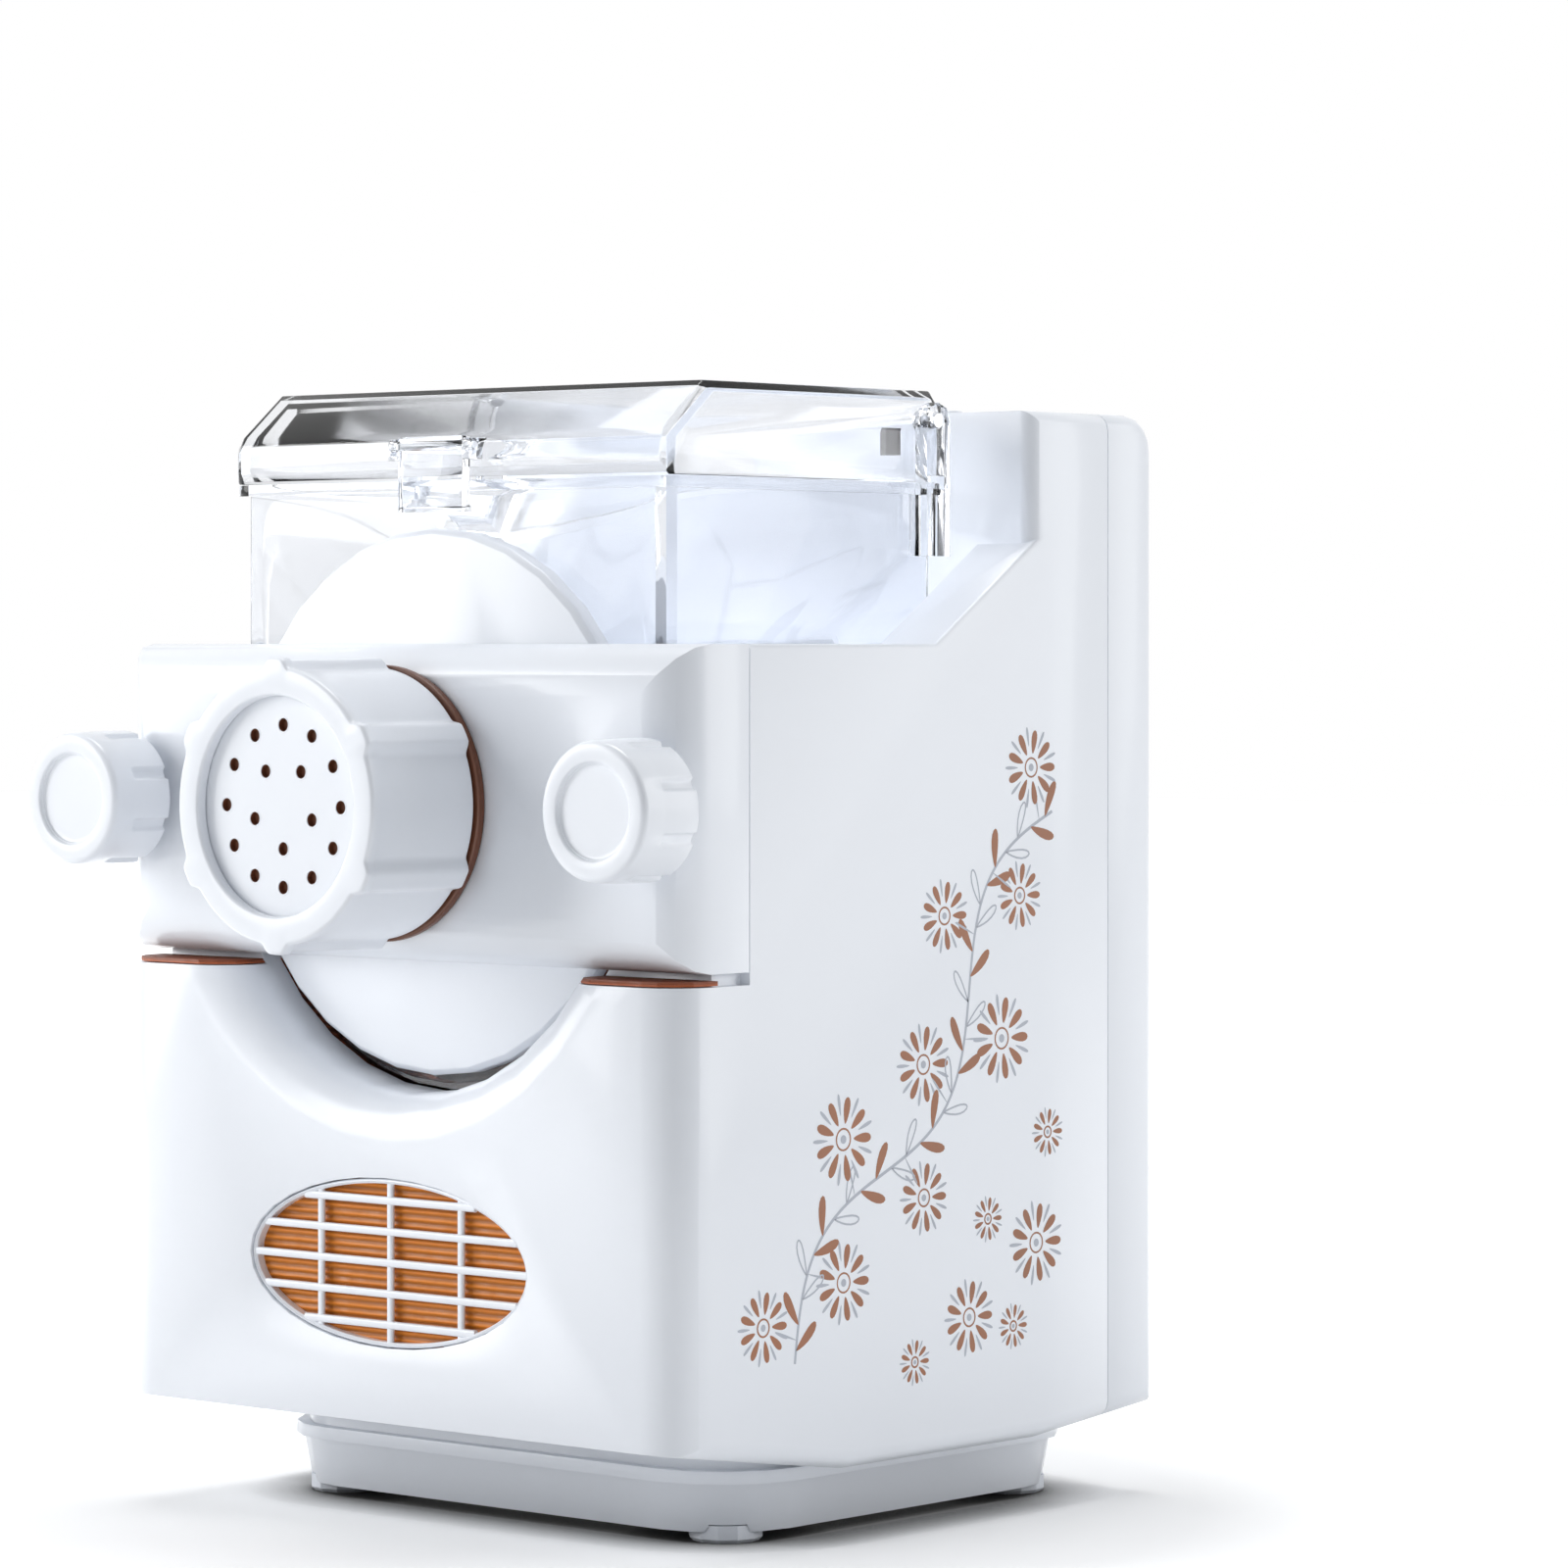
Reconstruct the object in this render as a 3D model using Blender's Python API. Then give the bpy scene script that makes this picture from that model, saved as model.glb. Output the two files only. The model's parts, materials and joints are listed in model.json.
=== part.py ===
"""Electric pasta maker: a white body with a rear tower, a clear mixing chamber with a lid,
a clamp bar with two thumb nuts, a front disc with its extrusion barrel, a die nut and die plate,
and the drive inside. Metres, +Z up, -Y is the front. The origin is on the floor, at the middle
of the footprint."""
import math

import bmesh
import bpy
from mathutils import Matrix, Vector

# General fits
FIT_GAP = 0.0003
OVERRUN = 0.002
MERGE_DISTANCE = 0.000001
FLAT_SHARE = 0.9
STEEP_SHARE = 0.1

# Body shell
BODY_WIDTH = 0.209
TOWER_DEPTH = 0.055
WALL = 0.003
DECK_HEIGHT = 0.238
TOWER_LIFT = 0.020
TOWER_GAP = 0.012
RAMP_RUN = 0.0414
RAMP_RISE_SHARE = 0.4297
CHIN_HEIGHT = 0.030
CHIN_DEPTH = 0.069
BELLY_HEIGHT = 0.020
HEEL_LENGTH = 0.051
HEEL_HEIGHT = 0.025
FRONT_CORNER_RADIUS = 0.013
TOWER_BACK_RADIUS = 0.010
TOWER_CORNER_RADIUS = 0.005
BOTTOM_EDGE_RADIUS = 0.005
DECK_EDGE_RADIUS = 0.0015
CHEEK_WIDTH = 0.020
SEAM_DEPTH = 0.022

# Clamp bar
BAR_HEIGHT = 0.085
BAR_DEPTH = 0.0167
BAR_CHEEK_DEPTH = 0.028
BAR_WALL = 0.003
BAR_UNDER_GAP = 0.0033
BAR_HOLE_RADIUS = 0.033
BAR_COLLAR_WALL = 0.003
BAR_BOSS_RADIUS = 0.0068
LINER_THICKNESS = 0.0012
LINER_INSET = 0.0008

# Scoop below the disc
SCOOP_CLEARANCE = 0.0044
SCOOP_FLARE = 0.0125
SCOOP_DEPTH = 0.011

# Front disc and extrusion barrel
DISC_INSET = 0.0064
DISC_THICKNESS = 0.006
DISC_EDGE_RADIUS = 0.0015
BARREL_RADIUS = 0.0300
BARREL_BORE_RADIUS = 0.0245
SPIGOT_INSET = 0.0066
SPIGOT_WALL = 0.003
SPIGOT_LENGTH = 0.005
SEAL_WIDTH = 0.003
SEAL_THICKNESS = 0.0022
SEAL_RIM = 0.0016

# Die nut, die plate and the ring behind the nut
NUT_REACH = 0.0415
NUT_LENGTH = 0.038
NUT_CORE_RADIUS = 0.0365
NUT_LOBE_RISE = 0.0025
NUT_LOBE_COUNT = 6
NUT_MOUTH_RADIUS = 0.029
NUT_LIP = 0.0032
NUT_EDGE_RADIUS = 0.0012
NUT_LOBE_SHARES = ((-0.17, 0), (-0.13, 0.8), (-0.07, 1), (0.07, 1), (0.13, 0.8), (0.17, 0))
NUT_CORE_SHARES = (0.29, 0.40, 0.51, 0.62, 0.73)
DIE_THICKNESS = 0.005
DIE_HOLE_RADIUS = 0.0019
DIE_OUTER_RING_RADIUS = 0.0213
DIE_INNER_RING_RADIUS = 0.0112
DIE_OUTER_COUNT = 12
DIE_INNER_COUNT = 5
SPACER_RADIUS = 0.0398
SPACER_THICKNESS = 0.0024

# Thumb nuts on their studs
STUD_INSET = 0.0069
STUD_RADIUS = 0.003
STUD_SINK = 0.016
STUD_BOSS = 0.007
KNOB_RADIUS = 0.0185
KNOB_REACH = 0.0244
KNOB_LENGTH = 0.0204
KNOB_RECESS_RADIUS = 0.012
KNOB_RECESS_DEPTH = 0.0015
KNOB_FACE = 0.004
KNOB_EDGE_RADIUS = 0.0012
KNOB_GRIP_COUNT = 8
KNOB_GRIP_WIDTH = 0.0028
KNOB_GRIP_DEPTH = 0.0012
KNOB_GRIP_LENGTH = 0.013
WASHER_RADIUS = 0.009

# Mixing chamber
CHAMBER_SIDE_INSET = 0.0245
CHAMBER_SETBACK = 0.0233
CHAMBER_BACK_SETBACK = 0.134
CHAMBER_HEADROOM = 0.0065
CHAMBER_WALL = 0.0025
CHAMBER_CLEARANCE = 0.0006
CHAMBER_EDGE_RADIUS = 0.004
RIM_OVERHANG = 0.002
RIM_THICKNESS = 0.003
BUSH_SEAT_RADIUS = 0.011
CATCH_HALF_WIDTH = 0.008
CATCH_HEIGHT = 0.0017
LUG_THICKNESS = 0.004
LUG_RADIUS = 0.005
LUG_DROP = 0.020

# Lid
LID_HEIGHT = 0.0252
LID_WALL = 0.0025
LID_BEVEL_DEPTH = 0.017
LID_BEVEL_RISE = 0.014
LID_EDGE_RADIUS = 0.003
LID_CORNER_RADIUS = 0.006
LID_HEEL_RELIEF = 0.0017
HINGE_INSET = 0.007
HINGE_RISE = 0.017
HINGE_PIN_RADIUS = 0.002
HINGE_PIN_HEAD_RADIUS = 0.0034
HINGE_PIN_HEAD = 0.0012
MAGNET_LENGTH = 0.006
MAGNET_TALL = 0.0072
MAGNET_THICKNESS = 0.0025
MAGNET_INSET = 0.022
MAGNET_RISE = 0.0075

# Lid latch
LATCH_HALF_WIDTH = 0.012
LATCH_THICKNESS = 0.003
LATCH_STAND_OFF = 0.0015
LATCH_DROP = 0.0178
LATCH_TOP = 0.0025
LATCH_HOOK_HEIGHT = 0.0016
LATCH_HOOK_REACH = 0.0008
LATCH_PIN_RISE = 0.0093
LATCH_PIN_RADIUS = 0.0012
LATCH_EAR_THICKNESS = 0.003
LATCH_EAR_DROP = 0.0038
LATCH_EAR_RISE = 0.0019
LATCH_EAR_FRONT = 0.0021

# Vent in the lower front
VENT_WIDTH = 0.104
VENT_HEIGHT_SHARE = 0.6067
VENT_CENTRE_SHARE = 0.5693
VENT_RING = 0.0014
VENT_FLANGE = 0.0035
VENT_FLANGE_THICKNESS = 0.002
VENT_BAR_COUNT = 3
VENT_SLAT_COUNT = 5
VENT_BAR_WIDTH = 0.0021
VENT_BAR_SHARE = 0.2519
VENT_SLAT_SHARE = 0.0484
VENT_SPACING_SHARE = 0.1824
VENT_SETBACK = 0.0006
FILTER_THICKNESS = 0.004

# Base tray and feet
BASE_SIDE_INSET = 0.017
BASE_FRONT_INSET = 0.040
BASE_BACK_INSET = 0.009
BASE_CORNER_RADIUS = 0.025
BASE_LIP_HEIGHT = 0.0035
BASE_LIP_WIDTH = 0.0015
BASE_TAPER = 0.003
BASE_WALL = 0.003
BASE_NECK_INSET = 0.002
FOOT_RADIUS = 0.010
FOOT_HEIGHT = 0.003
FOOT_SINK = 0.002
FOOT_BOSS_WALL = 0.002
FOOT_INSET = 0.016

# Inner chassis
CHASSIS_SIDE_INSET = 0.0125
CHASSIS_THICKNESS = 0.003
CHASSIS_FLOOR = 0.004
CHASSIS_FRONT_SETBACK = 0.034
CHASSIS_FRONT_DROP = 0.0455
CHASSIS_REAR_GAP = 0.004
CHASSIS_REAR_DROP = 0.006
CHASSIS_BRIDGE = 0.007
CHASSIS_SHAFT_CLEARANCE = 0.004

# Gear train: motor pinion, compound idler, output gear
FIRST_MODULE_SHARE = 2 / 3
FIRST_PINION_TEETH = 9
FIRST_WHEEL_TEETH = 36
SECOND_PINION_TEETH = 10
SECOND_WHEEL_TEETH = 40
GEAR_THICKNESS = 0.008
GEAR_LAYER_GAP = 0.003
ADDENDUM_SHARE = 0.8
DEDENDUM_SHARE = 1.15
TOOTH_ROOT_SHARE = 0.56
TOOTH_TIP_SHARE = 0.24

# Gear case
CASE_STAND_OFF = 0.0087
CASE_MARGIN = 0.0076
CASE_WALL = 0.003
CASE_SIDE_GAP = 0.003
CASE_CORNER_RADIUS = 0.012
CASE_SPACER_RADIUS = 0.006

# Shafts
OUTPUT_SHAFT_RADIUS = 0.006
IDLER_SHAFT_RADIUS = 0.004
MOTOR_SHAFT_RADIUS = 0.004
SHAFT_SOCKET_DEPTH = 0.016
BUSH_FLANGE = 0.004
BUSH_FLANGE_THICKNESS = 0.0015

# Mixing auger
AUGER_CORE_RADIUS = 0.009
AUGER_HUB_RADIUS = 0.012
AUGER_FLIGHT_RADIUS = 0.0235
AUGER_PITCH = 0.018
AUGER_FLIGHT_THICKNESS = 0.0035
AUGER_TIP_GAP = 0.003
AUGER_FLIGHT_END = 0.010
FLIGHT_ROOT_SHARE = 0.7
FLIGHT_RIM_SHARE = 0.7
PADDLE_COUNT = 3
PADDLE_CLEARANCE = 0.012
PADDLE_WIDTH = 0.011
PADDLE_THICKNESS = 0.006
PADDLE_BLADE_LENGTH = 0.026
PADDLE_BLADE_HEIGHT = 0.014
PADDLE_BLADE_THICKNESS = 0.004
PADDLE_FIRST_SHARE = 0.2231
PADDLE_SPACING_SHARE = 0.271
PADDLE_TWIST_DEGREES = 25

# Motor and fan
MOTOR_HEIGHT_SHARE = 0.58115
MOTOR_RADIUS_SHARE = 0.377
MOTOR_BELL_SHARE = 0.667
MOTOR_BELL_LENGTH = 0.010
FAN_RADIUS_SHARE = 0.833
FAN_HUB_RADIUS = 0.009
FAN_LENGTH = 0.010
FAN_GAP = 0.004
FAN_CLEARANCE = 0.0107
FAN_BLADE_COUNT = 7
FAN_BLADE_LENGTH = 0.009
FAN_ROOT_SHARE = 0.8
FAN_BLADE_THICKNESS = 0.0016
FAN_BLADE_TWIST_DEGREES = 35

# Control panel on top of the tower
PANEL_SIDE_INSET = 0.0275
PANEL_DEPTH = 0.024
PANEL_EDGE = 0.005
PANEL_THICKNESS = 0.0017
PANEL_LEDGE = 0.004
PANEL_CORNER_RADIUS = 0.005
BUTTON_RADIUS = 0.006
BUTTON_FLANGE = 0.0012
BUTTON_FLANGE_THICKNESS = 0.0014
BUTTON_PROUD = 0.0014
BUTTON_STEM = 0.0034
BUTTON_TRAVEL = 0.0012
BUTTON_EDGE_INSET = 0.019
BUTTON_NEAR_SHARE = 0.62069
WINDOW_SHARE = 0.47222
WINDOW_DEPTH = 0.012
WINDOW_THICKNESS = 0.002
WINDOW_FLANGE = 0.001
BOARD_THICKNESS = 0.0016
BOARD_SIDE_INSET = 0.008
BOARD_DEPTH = 0.021
BOARD_POST_RADIUS = 0.002
BOARD_POST_INSET = 0.004
SWITCH_DOME_RADIUS = 0.0025
SWITCH_DOME_HEIGHT = 0.0012
CAPACITOR_RADIUS = 0.005
CAPACITOR_HEIGHT = 0.012

# Rear cover fittings
SCREW_RADIUS = 0.0019
SCREW_HEAD_RADIUS = 0.0036
SCREW_HEAD_HEIGHT = 0.0022
SCREW_CROWN_SHARE = 0.8
SCREW_SINK = 0.0005
SCREW_SLOT_WIDTH = 0.001
SCREW_SLOT_DEPTH = 0.0009
SCREW_SLOT_LENGTH = 0.0048
SCREW_BITE = 0.010
SCREW_BOSS_RADIUS = 0.005
SCREW_SIDE_INSET = 0.0125
SCREW_LOW_HEIGHT = 0.045
SCREW_TOP_DROP = 0.032
INLET_WIDTH = 0.027
INLET_HEIGHT = 0.020
INLET_FLANGE = 0.002
INLET_FLANGE_THICKNESS = 0.0015
INLET_DEPTH = 0.015
INLET_WALL = 0.0018
INLET_PIN_SIZE = 0.002
INLET_PIN_HEIGHT = 0.004
INLET_PIN_LENGTH = 0.007
INLET_PIN_SPACING = 0.007
INLET_SIDE_INSET = 0.0445
FITTINGS_HEIGHT = 0.058
SWITCH_WIDTH = 0.015
SWITCH_HEIGHT = 0.021
SWITCH_SPACING = 0.032
SWITCH_DEPTH = 0.013
ROCKER_THICKNESS = 0.005
ROCKER_TILT_DEGREES = 9
ROCKER_BACK_SHARE = 0.5
ROCKER_PIVOT_RADIUS = 0.002
LOUVRE_WIDTH = 0.060
LOUVRE_HEIGHT = 0.003
LOUVRE_SPACING = 0.008
LOUVRE_COUNT = 5
LOUVRE_LOW_HEIGHT = 0.095

# Facets
ROUND_STEPS = 32
KNOB_STEPS = 24
SMALL_STEPS = 12
TINY_STEPS = 8
DIE_HOLE_STEPS = 10
CORNER_STEPS = 4
SMALL_CORNER_STEPS = 2
EDGE_STEPS = 1
ARC_STEPS = 4
CHAMBER_ARC_STEPS = 18
FLIGHT_STEPS_PER_TURN = 13
SMOOTH_ANGLE = math.radians(32)

# Places worked out from the sizes above
HALF_WIDTH = BODY_WIDTH / 2
BODY_DEPTH = CHAMBER_BACK_SETBACK + TOWER_GAP + TOWER_DEPTH
AXIS_Z = DECK_HEIGHT - BAR_HEIGHT / 2
CHAMBER_HALF_WIDTH = HALF_WIDTH - CHAMBER_SIDE_INSET
DISC_RADIUS = CHAMBER_HALF_WIDTH - DISC_INSET
SPIGOT_RADIUS = DISC_RADIUS - SPIGOT_INSET
SCOOP_RADIUS = DISC_RADIUS + SCOOP_CLEARANCE
CHAMBER_HEIGHT = AXIS_Z + CHAMBER_HALF_WIDTH + CHAMBER_HEADROOM
TOWER_HEIGHT = CHAMBER_HEIGHT + TOWER_LIFT
RAMP_RISE = (TOWER_HEIGHT - DECK_HEIGHT) * RAMP_RISE_SHARE
LUG_FOOT_HEIGHT = CHAMBER_HEIGHT - LUG_DROP
MAGNET_HEIGHT = CHAMBER_HEIGHT + MAGNET_RISE
LATCH_PIN_HEIGHT = CHAMBER_HEIGHT + LATCH_PIN_RISE
SCREW_HIGH_HEIGHT = TOWER_HEIGHT - SCREW_TOP_DROP
ROCKER_TILT = math.radians(ROCKER_TILT_DEGREES)
ROCKER_REACH = SWITCH_HEIGHT / 2 - INLET_WALL - FIT_GAP - ROCKER_THICKNESS * math.sin(ROCKER_TILT)
ROCKER_RISE = INLET_FLANGE_THICKNESS + ROCKER_PIVOT_RADIUS
REAR_PROUD = (
    FIT_GAP - ROCKER_PIVOT_RADIUS + ROCKER_RISE * math.cos(ROCKER_TILT) + ROCKER_REACH * math.sin(ROCKER_TILT)
)
FRONT_Y = -(BODY_DEPTH + REAR_PROUD - NUT_REACH) / 2
BACK_Y = FRONT_Y + BODY_DEPTH
BAR_BOTTOM_Z = DECK_HEIGHT - BAR_HEIGHT
BAR_BACK_Y = FRONT_Y + BAR_DEPTH
DISC_FRONT_Y = BAR_BACK_Y + FIT_GAP
DISC_BACK_Y = DISC_FRONT_Y + DISC_THICKNESS
NUT_FRONT_Y = FRONT_Y - NUT_REACH
NUT_BACK_Y = NUT_FRONT_Y + NUT_LENGTH
DIE_FRONT_Y = NUT_FRONT_Y + NUT_LIP + FIT_GAP
DIE_BACK_Y = DIE_FRONT_Y + DIE_THICKNESS
BARREL_FRONT_Y = DIE_BACK_Y + FIT_GAP
STUD_X = HALF_WIDTH - STUD_INSET
KNOB_FRONT_Y = FRONT_Y - KNOB_REACH
KNOB_BACK_Y = KNOB_FRONT_Y + KNOB_LENGTH
CHAMBER_FRONT_Y = FRONT_Y + CHAMBER_SETBACK
CHAMBER_BACK_Y = FRONT_Y + CHAMBER_BACK_SETBACK
LID_FRONT_Y = CHAMBER_FRONT_Y - RIM_OVERHANG
LID_BACK_Y = CHAMBER_BACK_Y
LID_BOTTOM_Z = CHAMBER_HEIGHT + FIT_GAP
LID_HALF_WIDTH = CHAMBER_HALF_WIDTH + RIM_OVERHANG
HINGE_Y = CHAMBER_BACK_Y - HINGE_INSET
HINGE_Z = CHAMBER_HEIGHT + HINGE_RISE
LATCH_PIN_Y = LID_FRONT_Y - LATCH_STAND_OFF - LATCH_THICKNESS / 2
VENT_ROOM = AXIS_Z - SCOOP_RADIUS - SCOOP_FLARE - CHIN_HEIGHT
VENT_BAR_SPACING = VENT_WIDTH * VENT_BAR_SHARE
VENT_HEIGHT = VENT_ROOM * VENT_HEIGHT_SHARE
VENT_Z = CHIN_HEIGHT + VENT_ROOM * VENT_CENTRE_SHARE
VENT_SLAT_HEIGHT = VENT_HEIGHT * VENT_SLAT_SHARE
VENT_SLAT_SPACING = VENT_HEIGHT * VENT_SPACING_SHARE
SEAM_Y = BACK_Y - SEAM_DEPTH
TOWER_Y = CHAMBER_BACK_Y + TOWER_GAP
RAMP_Y = TOWER_Y - RAMP_RUN
HEEL_Y = BACK_Y - HEEL_LENGTH
CHASSIS_HALF_WIDTH = HALF_WIDTH - CHASSIS_SIDE_INSET
CHASSIS_REAR_Y = CHAMBER_BACK_Y + CHASSIS_REAR_GAP
CASE_Y = CHASSIS_REAR_Y + CHASSIS_THICKNESS + CASE_STAND_OFF
SECOND_LAYER_Y = CASE_Y + CASE_WALL + GEAR_LAYER_GAP
FIRST_LAYER_Y = SECOND_LAYER_Y + GEAR_THICKNESS + GEAR_LAYER_GAP
CASE_COVER_Y = FIRST_LAYER_Y + GEAR_THICKNESS + GEAR_LAYER_GAP
MOTOR_ROOM = AXIS_Z - CHAMBER_HALF_WIDTH - BELLY_HEIGHT
MOTOR_Z = BELLY_HEIGHT + MOTOR_ROOM * MOTOR_HEIGHT_SHARE
MOTOR_RADIUS = MOTOR_ROOM * MOTOR_RADIUS_SHARE
MOTOR_BELL_RADIUS = MOTOR_RADIUS * MOTOR_BELL_SHARE
FAN_RADIUS = MOTOR_RADIUS * FAN_RADIUS_SHARE
FIRST_TEETH = FIRST_PINION_TEETH + FIRST_WHEEL_TEETH
SECOND_TEETH = SECOND_PINION_TEETH + SECOND_WHEEL_TEETH
SECOND_MODULE = 2 * (AXIS_Z - MOTOR_Z) / (SECOND_TEETH + FIRST_TEETH * FIRST_MODULE_SHARE)
FIRST_MODULE = SECOND_MODULE * FIRST_MODULE_SHARE
IDLER_Z = AXIS_Z - SECOND_MODULE * SECOND_TEETH / 2
CASE_HALF_WIDTH = SECOND_MODULE * (SECOND_WHEEL_TEETH / 2 + ADDENDUM_SHARE) + CASE_MARGIN
CHASSIS_FRONT_HEIGHT = AXIS_Z - CHASSIS_FRONT_DROP
CHASSIS_REAR_HEIGHT = DECK_HEIGHT - CHASSIS_REAR_DROP
CHASSIS_AIR_RADIUS = AXIS_Z - CHAMBER_HALF_WIDTH - MOTOR_Z - CHASSIS_BRIDGE
MOTOR_BACK_Y = CHASSIS_REAR_Y - FIT_GAP
FAN_FRONT_Y = FRONT_Y + CHASSIS_FRONT_SETBACK + CHASSIS_THICKNESS + FAN_CLEARANCE
FAN_BACK_Y = FAN_FRONT_Y + FAN_LENGTH
MOTOR_FRONT_Y = FAN_BACK_Y + FAN_GAP
AUGER_BACK_Y = CHAMBER_BACK_Y - CHAMBER_WALL - BUSH_FLANGE_THICKNESS - 2 * FIT_GAP
PANEL_WIDTH = BODY_WIDTH - 2 * PANEL_SIDE_INSET
PANEL_Y = TOWER_Y + PANEL_EDGE + PANEL_DEPTH / 2
BUTTON_SPREAD = PANEL_WIDTH / 2 - BUTTON_EDGE_INSET
BUTTON_NEAR = BUTTON_SPREAD * BUTTON_NEAR_SHARE
WINDOW_WIDTH = 2 * BUTTON_NEAR * WINDOW_SHARE
BOARD_WIDTH = PANEL_WIDTH - 2 * BOARD_SIDE_INSET
PANEL_TOP_Z = TOWER_HEIGHT
PANEL_BOTTOM_Z = PANEL_TOP_Z - PANEL_THICKNESS
FLANGE_TOP_Z = PANEL_BOTTOM_Z - FIT_GAP
BUTTON_BOTTOM_Z = FLANGE_TOP_Z - BUTTON_FLANGE_THICKNESS - BUTTON_STEM
BOARD_TOP_Z = BUTTON_BOTTOM_Z - BUTTON_TRAVEL - 2 * FIT_GAP - SWITCH_DOME_HEIGHT
FOOT_X = HALF_WIDTH - BASE_SIDE_INSET - FOOT_INSET
FOOT_FRONT_Y = FRONT_Y + BASE_FRONT_INSET + FOOT_INSET
FOOT_BACK_Y = BACK_Y - BASE_BACK_INSET - FOOT_INSET
SCREW_X = HALF_WIDTH - SCREW_SIDE_INSET
INLET_OFFSET = HALF_WIDTH - INLET_SIDE_INSET
SWITCH_OFFSET = INLET_OFFSET - SWITCH_SPACING
SEAT_Z = BAR_BOTTOM_Z - BAR_UNDER_GAP

X_AXIS = Vector((1, 0, 0))
Y_AXIS = Vector((0, 1, 0))
Z_AXIS = Vector((0, 0, 1))
AXES = {"X": X_AXIS, "Y": Y_AXIS, "Z": Z_AXIS}
PLANES = {"X": (Y_AXIS, Z_AXIS), "Y": (X_AXIS, Z_AXIS), "Z": (X_AXIS, Y_AXIS)}
NEAR = FIT_GAP / 10


# Helpers: outlines

def arc(centre, radius, start, end, steps):
    """Points of an arc, in degrees from the first direction of the plane."""
    points = []
    for i in range(steps + 1):
        angle = math.radians(start + (end - start) * i / steps)
        points.append((centre[0] + radius * math.cos(angle), centre[1] + radius * math.sin(angle)))
    return points


def ellipse(centre, half_width, half_height, steps):
    """Points of an ellipse, without the repeated last one."""
    points = []
    for i in range(steps):
        angle = 2 * math.pi * i / steps
        points.append((centre[0] + half_width * math.cos(angle), centre[1] + half_height * math.sin(angle)))
    return points


def rounded_rectangle(low, high, radius, steps):
    """A rectangle with round corners, from its low corner to its high corner."""
    return (
        arc((high[0] - radius, high[1] - radius), radius, 0, 90, steps)
        + arc((low[0] + radius, high[1] - radius), radius, 90, 180, steps)
        + arc((low[0] + radius, low[1] + radius), radius, 180, 270, steps)
        + arc((high[0] - radius, low[1] + radius), radius, 270, 360, steps)
    )


def inset_edges(points, distances):
    """The outline with each edge moved inwards by its own distance; the points run anticlockwise."""
    moved = []
    count = len(points)
    for i in range(count):
        here = Vector(points[i])
        first = (here - Vector(points[i - 1])).normalized()
        second = (Vector(points[(i + 1) % count]) - here).normalized()
        first_normal = Vector((-first.y, first.x))
        second_normal = Vector((-second.y, second.x))
        turn = first.cross(second)
        along = (distances[i - 1] * first_normal - distances[i] * second_normal).dot(second_normal) / turn
        moved.append(tuple(here + first_normal * distances[i - 1] + first * along))
    return moved


def inset_outline(points, distance):
    return inset_edges(points, [distance] * len(points))


# Helpers: solids

def new_piece(name, mesh_tool):
    mesh = bpy.data.meshes.new(name)
    bmesh.ops.recalc_face_normals(mesh_tool, faces=mesh_tool.faces)
    mesh_tool.to_mesh(mesh)
    mesh_tool.free()
    piece = bpy.data.objects.new(name, mesh)
    bpy.context.scene.collection.objects.link(piece)
    return piece


def prism(name, outline, axis, start, end):
    """An outline in the plane across an axis, drawn out along that axis."""
    first, second = PLANES[axis]
    mesh_tool = bmesh.new()
    corners = [mesh_tool.verts.new(first * u + second * v + AXES[axis] * start) for u, v in outline]
    face = mesh_tool.faces.new(corners)
    drawn = bmesh.ops.extrude_face_region(mesh_tool, geom=[face])
    moved = [item for item in drawn["geom"] if isinstance(item, bmesh.types.BMVert)]
    bmesh.ops.translate(mesh_tool, verts=moved, vec=AXES[axis] * (end - start))
    return new_piece(name, mesh_tool)


def box(name, low, high):
    outline = [(low[0], low[1]), (high[0], low[1]), (high[0], high[1]), (low[0], high[1])]
    return prism(name, outline, "Z", low[2], high[2])


def cylinder(name, radius, axis, centre, start, end, steps):
    return prism(name, ellipse(centre, radius, radius, steps), axis, start, end)


def lathe(name, profile, centre, steps, closed=True):
    """A profile of (radius, y) points turned about a line along Y through centre (x, z)."""
    mesh_tool = bmesh.new()
    origin = Vector((centre[0], 0, centre[1]))
    corners = [mesh_tool.verts.new(origin + X_AXIS * radius + Y_AXIS * y) for radius, y in profile]
    pairs = list(zip(corners, corners[1:]))
    if closed:
        pairs.append((corners[-1], corners[0]))
    edges = [mesh_tool.edges.new(pair) for pair in pairs]
    bmesh.ops.spin(
        mesh_tool, geom=corners + edges, cent=origin, axis=Y_AXIS,
        angle=2 * math.pi, steps=steps, use_merge=True
    )
    bmesh.ops.remove_doubles(mesh_tool, verts=mesh_tool.verts, dist=MERGE_DISTANCE)
    return new_piece(name, mesh_tool)


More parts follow.
